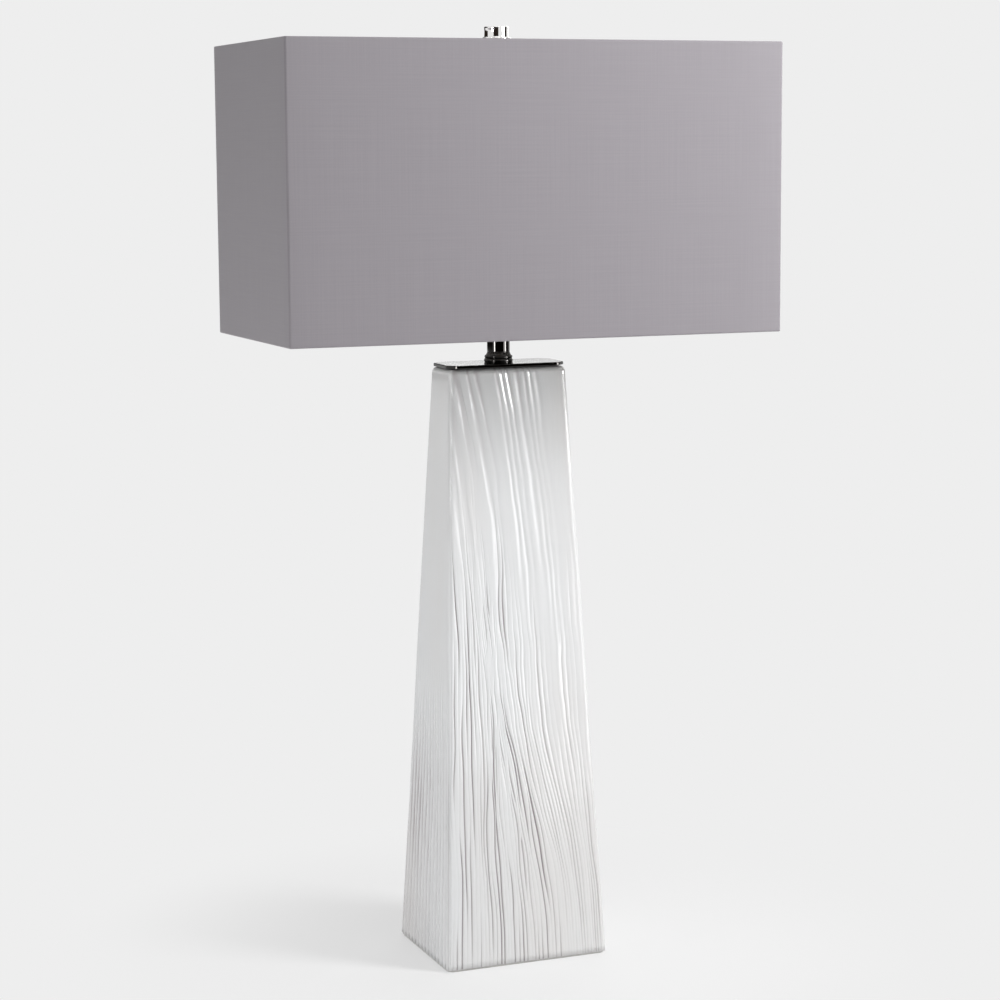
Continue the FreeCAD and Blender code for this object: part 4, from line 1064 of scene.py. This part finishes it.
# the dark cards: from and to, in degrees round the lamp, and their bottom and top
CARDS = ((66.0, 158.0, 0.82, 1.7), (221.0, 268.0, 0.6, 1.7), (208.0, 312.0, 0.3, 0.6),
         (336.0, 362.0, 0.3, 1.7), (66.0, 188.0, 0.42, 0.6))
# how far the cards stand away, how many flats their bend has, and their colour
CARD_AWAY = 1.7
CARD_STEPS = 12
CARD_BLACK = (0.02, 0.015, 0.012, 1.0)
WHITE = (1.0, 1.0, 1.0, 1.0)


def bare(name, paint):
    """A material with no Principled shader, only the nodes that paint adds to its tree."""
    material = bpy.data.materials.new(name)
    material.use_nodes = True
    material.node_tree.nodes.clear()
    tree = Tree(material.node_tree)
    tree.node("ShaderNodeOutputMaterial", {}, {"Surface": paint(tree)})
    return material


def seen(tree):
    """1 on what is looked at straight, in a reflection or through glass, and 0 in other light."""
    path = tree.node("ShaderNodeLightPath")
    straight, mirrored, through = (Wire(tree, path.outputs[f"Is {kind} Ray"])
                                   for kind in ("Camera", "Glossy", "Transmission"))
    return straight.calc("MAXIMUM", mirrored).calc("MAXIMUM", through)


def black(tree):
    """The cards' near black, the same in any light."""
    return tree.add("ShaderNodeEmission", {}, {"Color": CARD_BLACK, "Strength": 1.0})


def pale_floor(tree):
    """Lit grey that keeps the lamp's shadow near it, and pales into the backdrop further out."""
    lit = tree.add("ShaderNodeBsdfDiffuse", {}, {"Color": (FLOOR, FLOOR, FLOOR, 1.0)})
    pale = tree.add("ShaderNodeEmission", {}, {"Strength": BACKDROP})
    spot = tree.add("ShaderNodeTexCoord", out="Object")
    far = tree.add("ShaderNodeVectorMath", {"operation": "LENGTH"}, {0: spot}, out="Value")
    share = seen(tree) * (far.between(*SHADOW_REACH) * (1 - PALE_NEAR) + PALE_NEAR)
    return tree.add("ShaderNodeMixShader", {}, {0: share, 1: lit, 2: pale})


def softbox(name, place, aim, width, height, power, gloss_only=False):
    """A rectangular light, or one that shows only in reflections."""
    light = bpy.data.lights.new(name, "AREA")
    light.shape, light.size, light.size_y, light.energy = "RECTANGLE", width, height, power
    holder = linked(name, light)
    holder.location = place
    holder.rotation_euler = (Vector(aim) - Vector(place)).to_track_quat("-Z", "Y").to_euler()
    holder.visible_diffuse = not gloss_only


def dark_card(name, start, end, bottom, top):
    """A dark upright card, bent round the lamp, that only polished surfaces see."""
    bend = arc((0, 0), (CARD_AWAY, CARD_AWAY), start, end, CARD_STEPS + 1)
    points = [(x, y, level) for level in (bottom, top) for x, y in bend]
    faces = [(i, i + 1, i + CARD_STEPS + 2, i + CARD_STEPS + 1) for i in range(CARD_STEPS)]
    card = linked(name, mesh_of(name, points, faces))
    card.visible_camera = card.visible_diffuse = card.visible_shadow = False
    card.visible_transmission = card.visible_volume_scatter = False
    card.data.materials.append(bare(name, black))


class LAMP_OT_stage(bpy.types.Operator):
    """Set the pale floor, the soft lights and the camera"""
    bl_idname = "lamp.stage"
    bl_label = "Stage"

    def execute(self, context):
        scene = context.scene
        scene.view_settings.view_transform = "Standard"
        eye = linked("camera", bpy.data.cameras.new("camera"))
        eye.data.sensor_width = SENSOR
        eye.data.lens = SENSOR * CAMERA_FOCUS
        eye.data.clip_end = 100.0
        eye.location = CAMERA_PLACE
        eye.rotation_euler = CAMERA_TURN
        scene.camera = eye

        scene.world = bpy.data.worlds.new("studio")
        scene.world.use_nodes = True
        sky = Tree(scene.world.node_tree)
        sky.plug(sky.node_tree.nodes["Background"], {
            "Color": WHITE, "Strength": seen(sky) * (BACKDROP - AMBIENT) + AMBIENT})

        square = [(across * FLOOR_REACH, deep * FLOOR_REACH, 0)
                  for across, deep in ((-1, -1), (1, -1), (1, 1), (-1, 1))]
        floor = linked("floor", mesh_of("floor", square, [(0, 1, 2, 3)]))
        floor.data.materials.append(bare("pale_floor", pale_floor))

        for light in LIGHTS:
            softbox(*light)
        for number, card in enumerate(CARDS, 1):
            dark_card(f"dark_card_{number}", *card)
        return {"FINISHED"}


# ---------- panel and registration
STEPS = (LAMP_OT_stage, LAMP_OT_column, LAMP_OT_neck, LAMP_OT_shade, LAMP_OT_finial,
         LAMP_OT_threads, LAMP_OT_fittings)


class LAMP_PT_panel(bpy.types.Panel):
    """Lists the lamp's pieces and settings"""
    bl_idname = "LAMP_PT_panel"
    bl_label = "Column Table Lamp"
    bl_space_type = "VIEW_3D"
    bl_region_type = "UI"
    bl_category = "Lamp"

    def draw(self, context):
        for step in STEPS:
            self.layout.operator(step.bl_idname)
        for group in (context.scene.lamp_sizes, context.scene.lamp_colours):
            for name in group.__annotations__:
                self.layout.prop(group, name)


CLASSES = (LampSizes, LampColours, *STEPS, LAMP_PT_panel)


def register():
    for one in CLASSES:
        bpy.utils.register_class(one)
    bpy.types.Scene.lamp_sizes = PointerProperty(type=LampSizes)
    bpy.types.Scene.lamp_colours = PointerProperty(type=LampColours)


def unregister():
    del bpy.types.Scene.lamp_colours
    del bpy.types.Scene.lamp_sizes
    for one in reversed(CLASSES):
        bpy.utils.unregister_class(one)


def main():
    register()
    for step in STEPS:
        group, name = step.bl_idname.split(".")
        getattr(getattr(bpy.ops, group), name)()


if __name__ == "__main__":
    main()
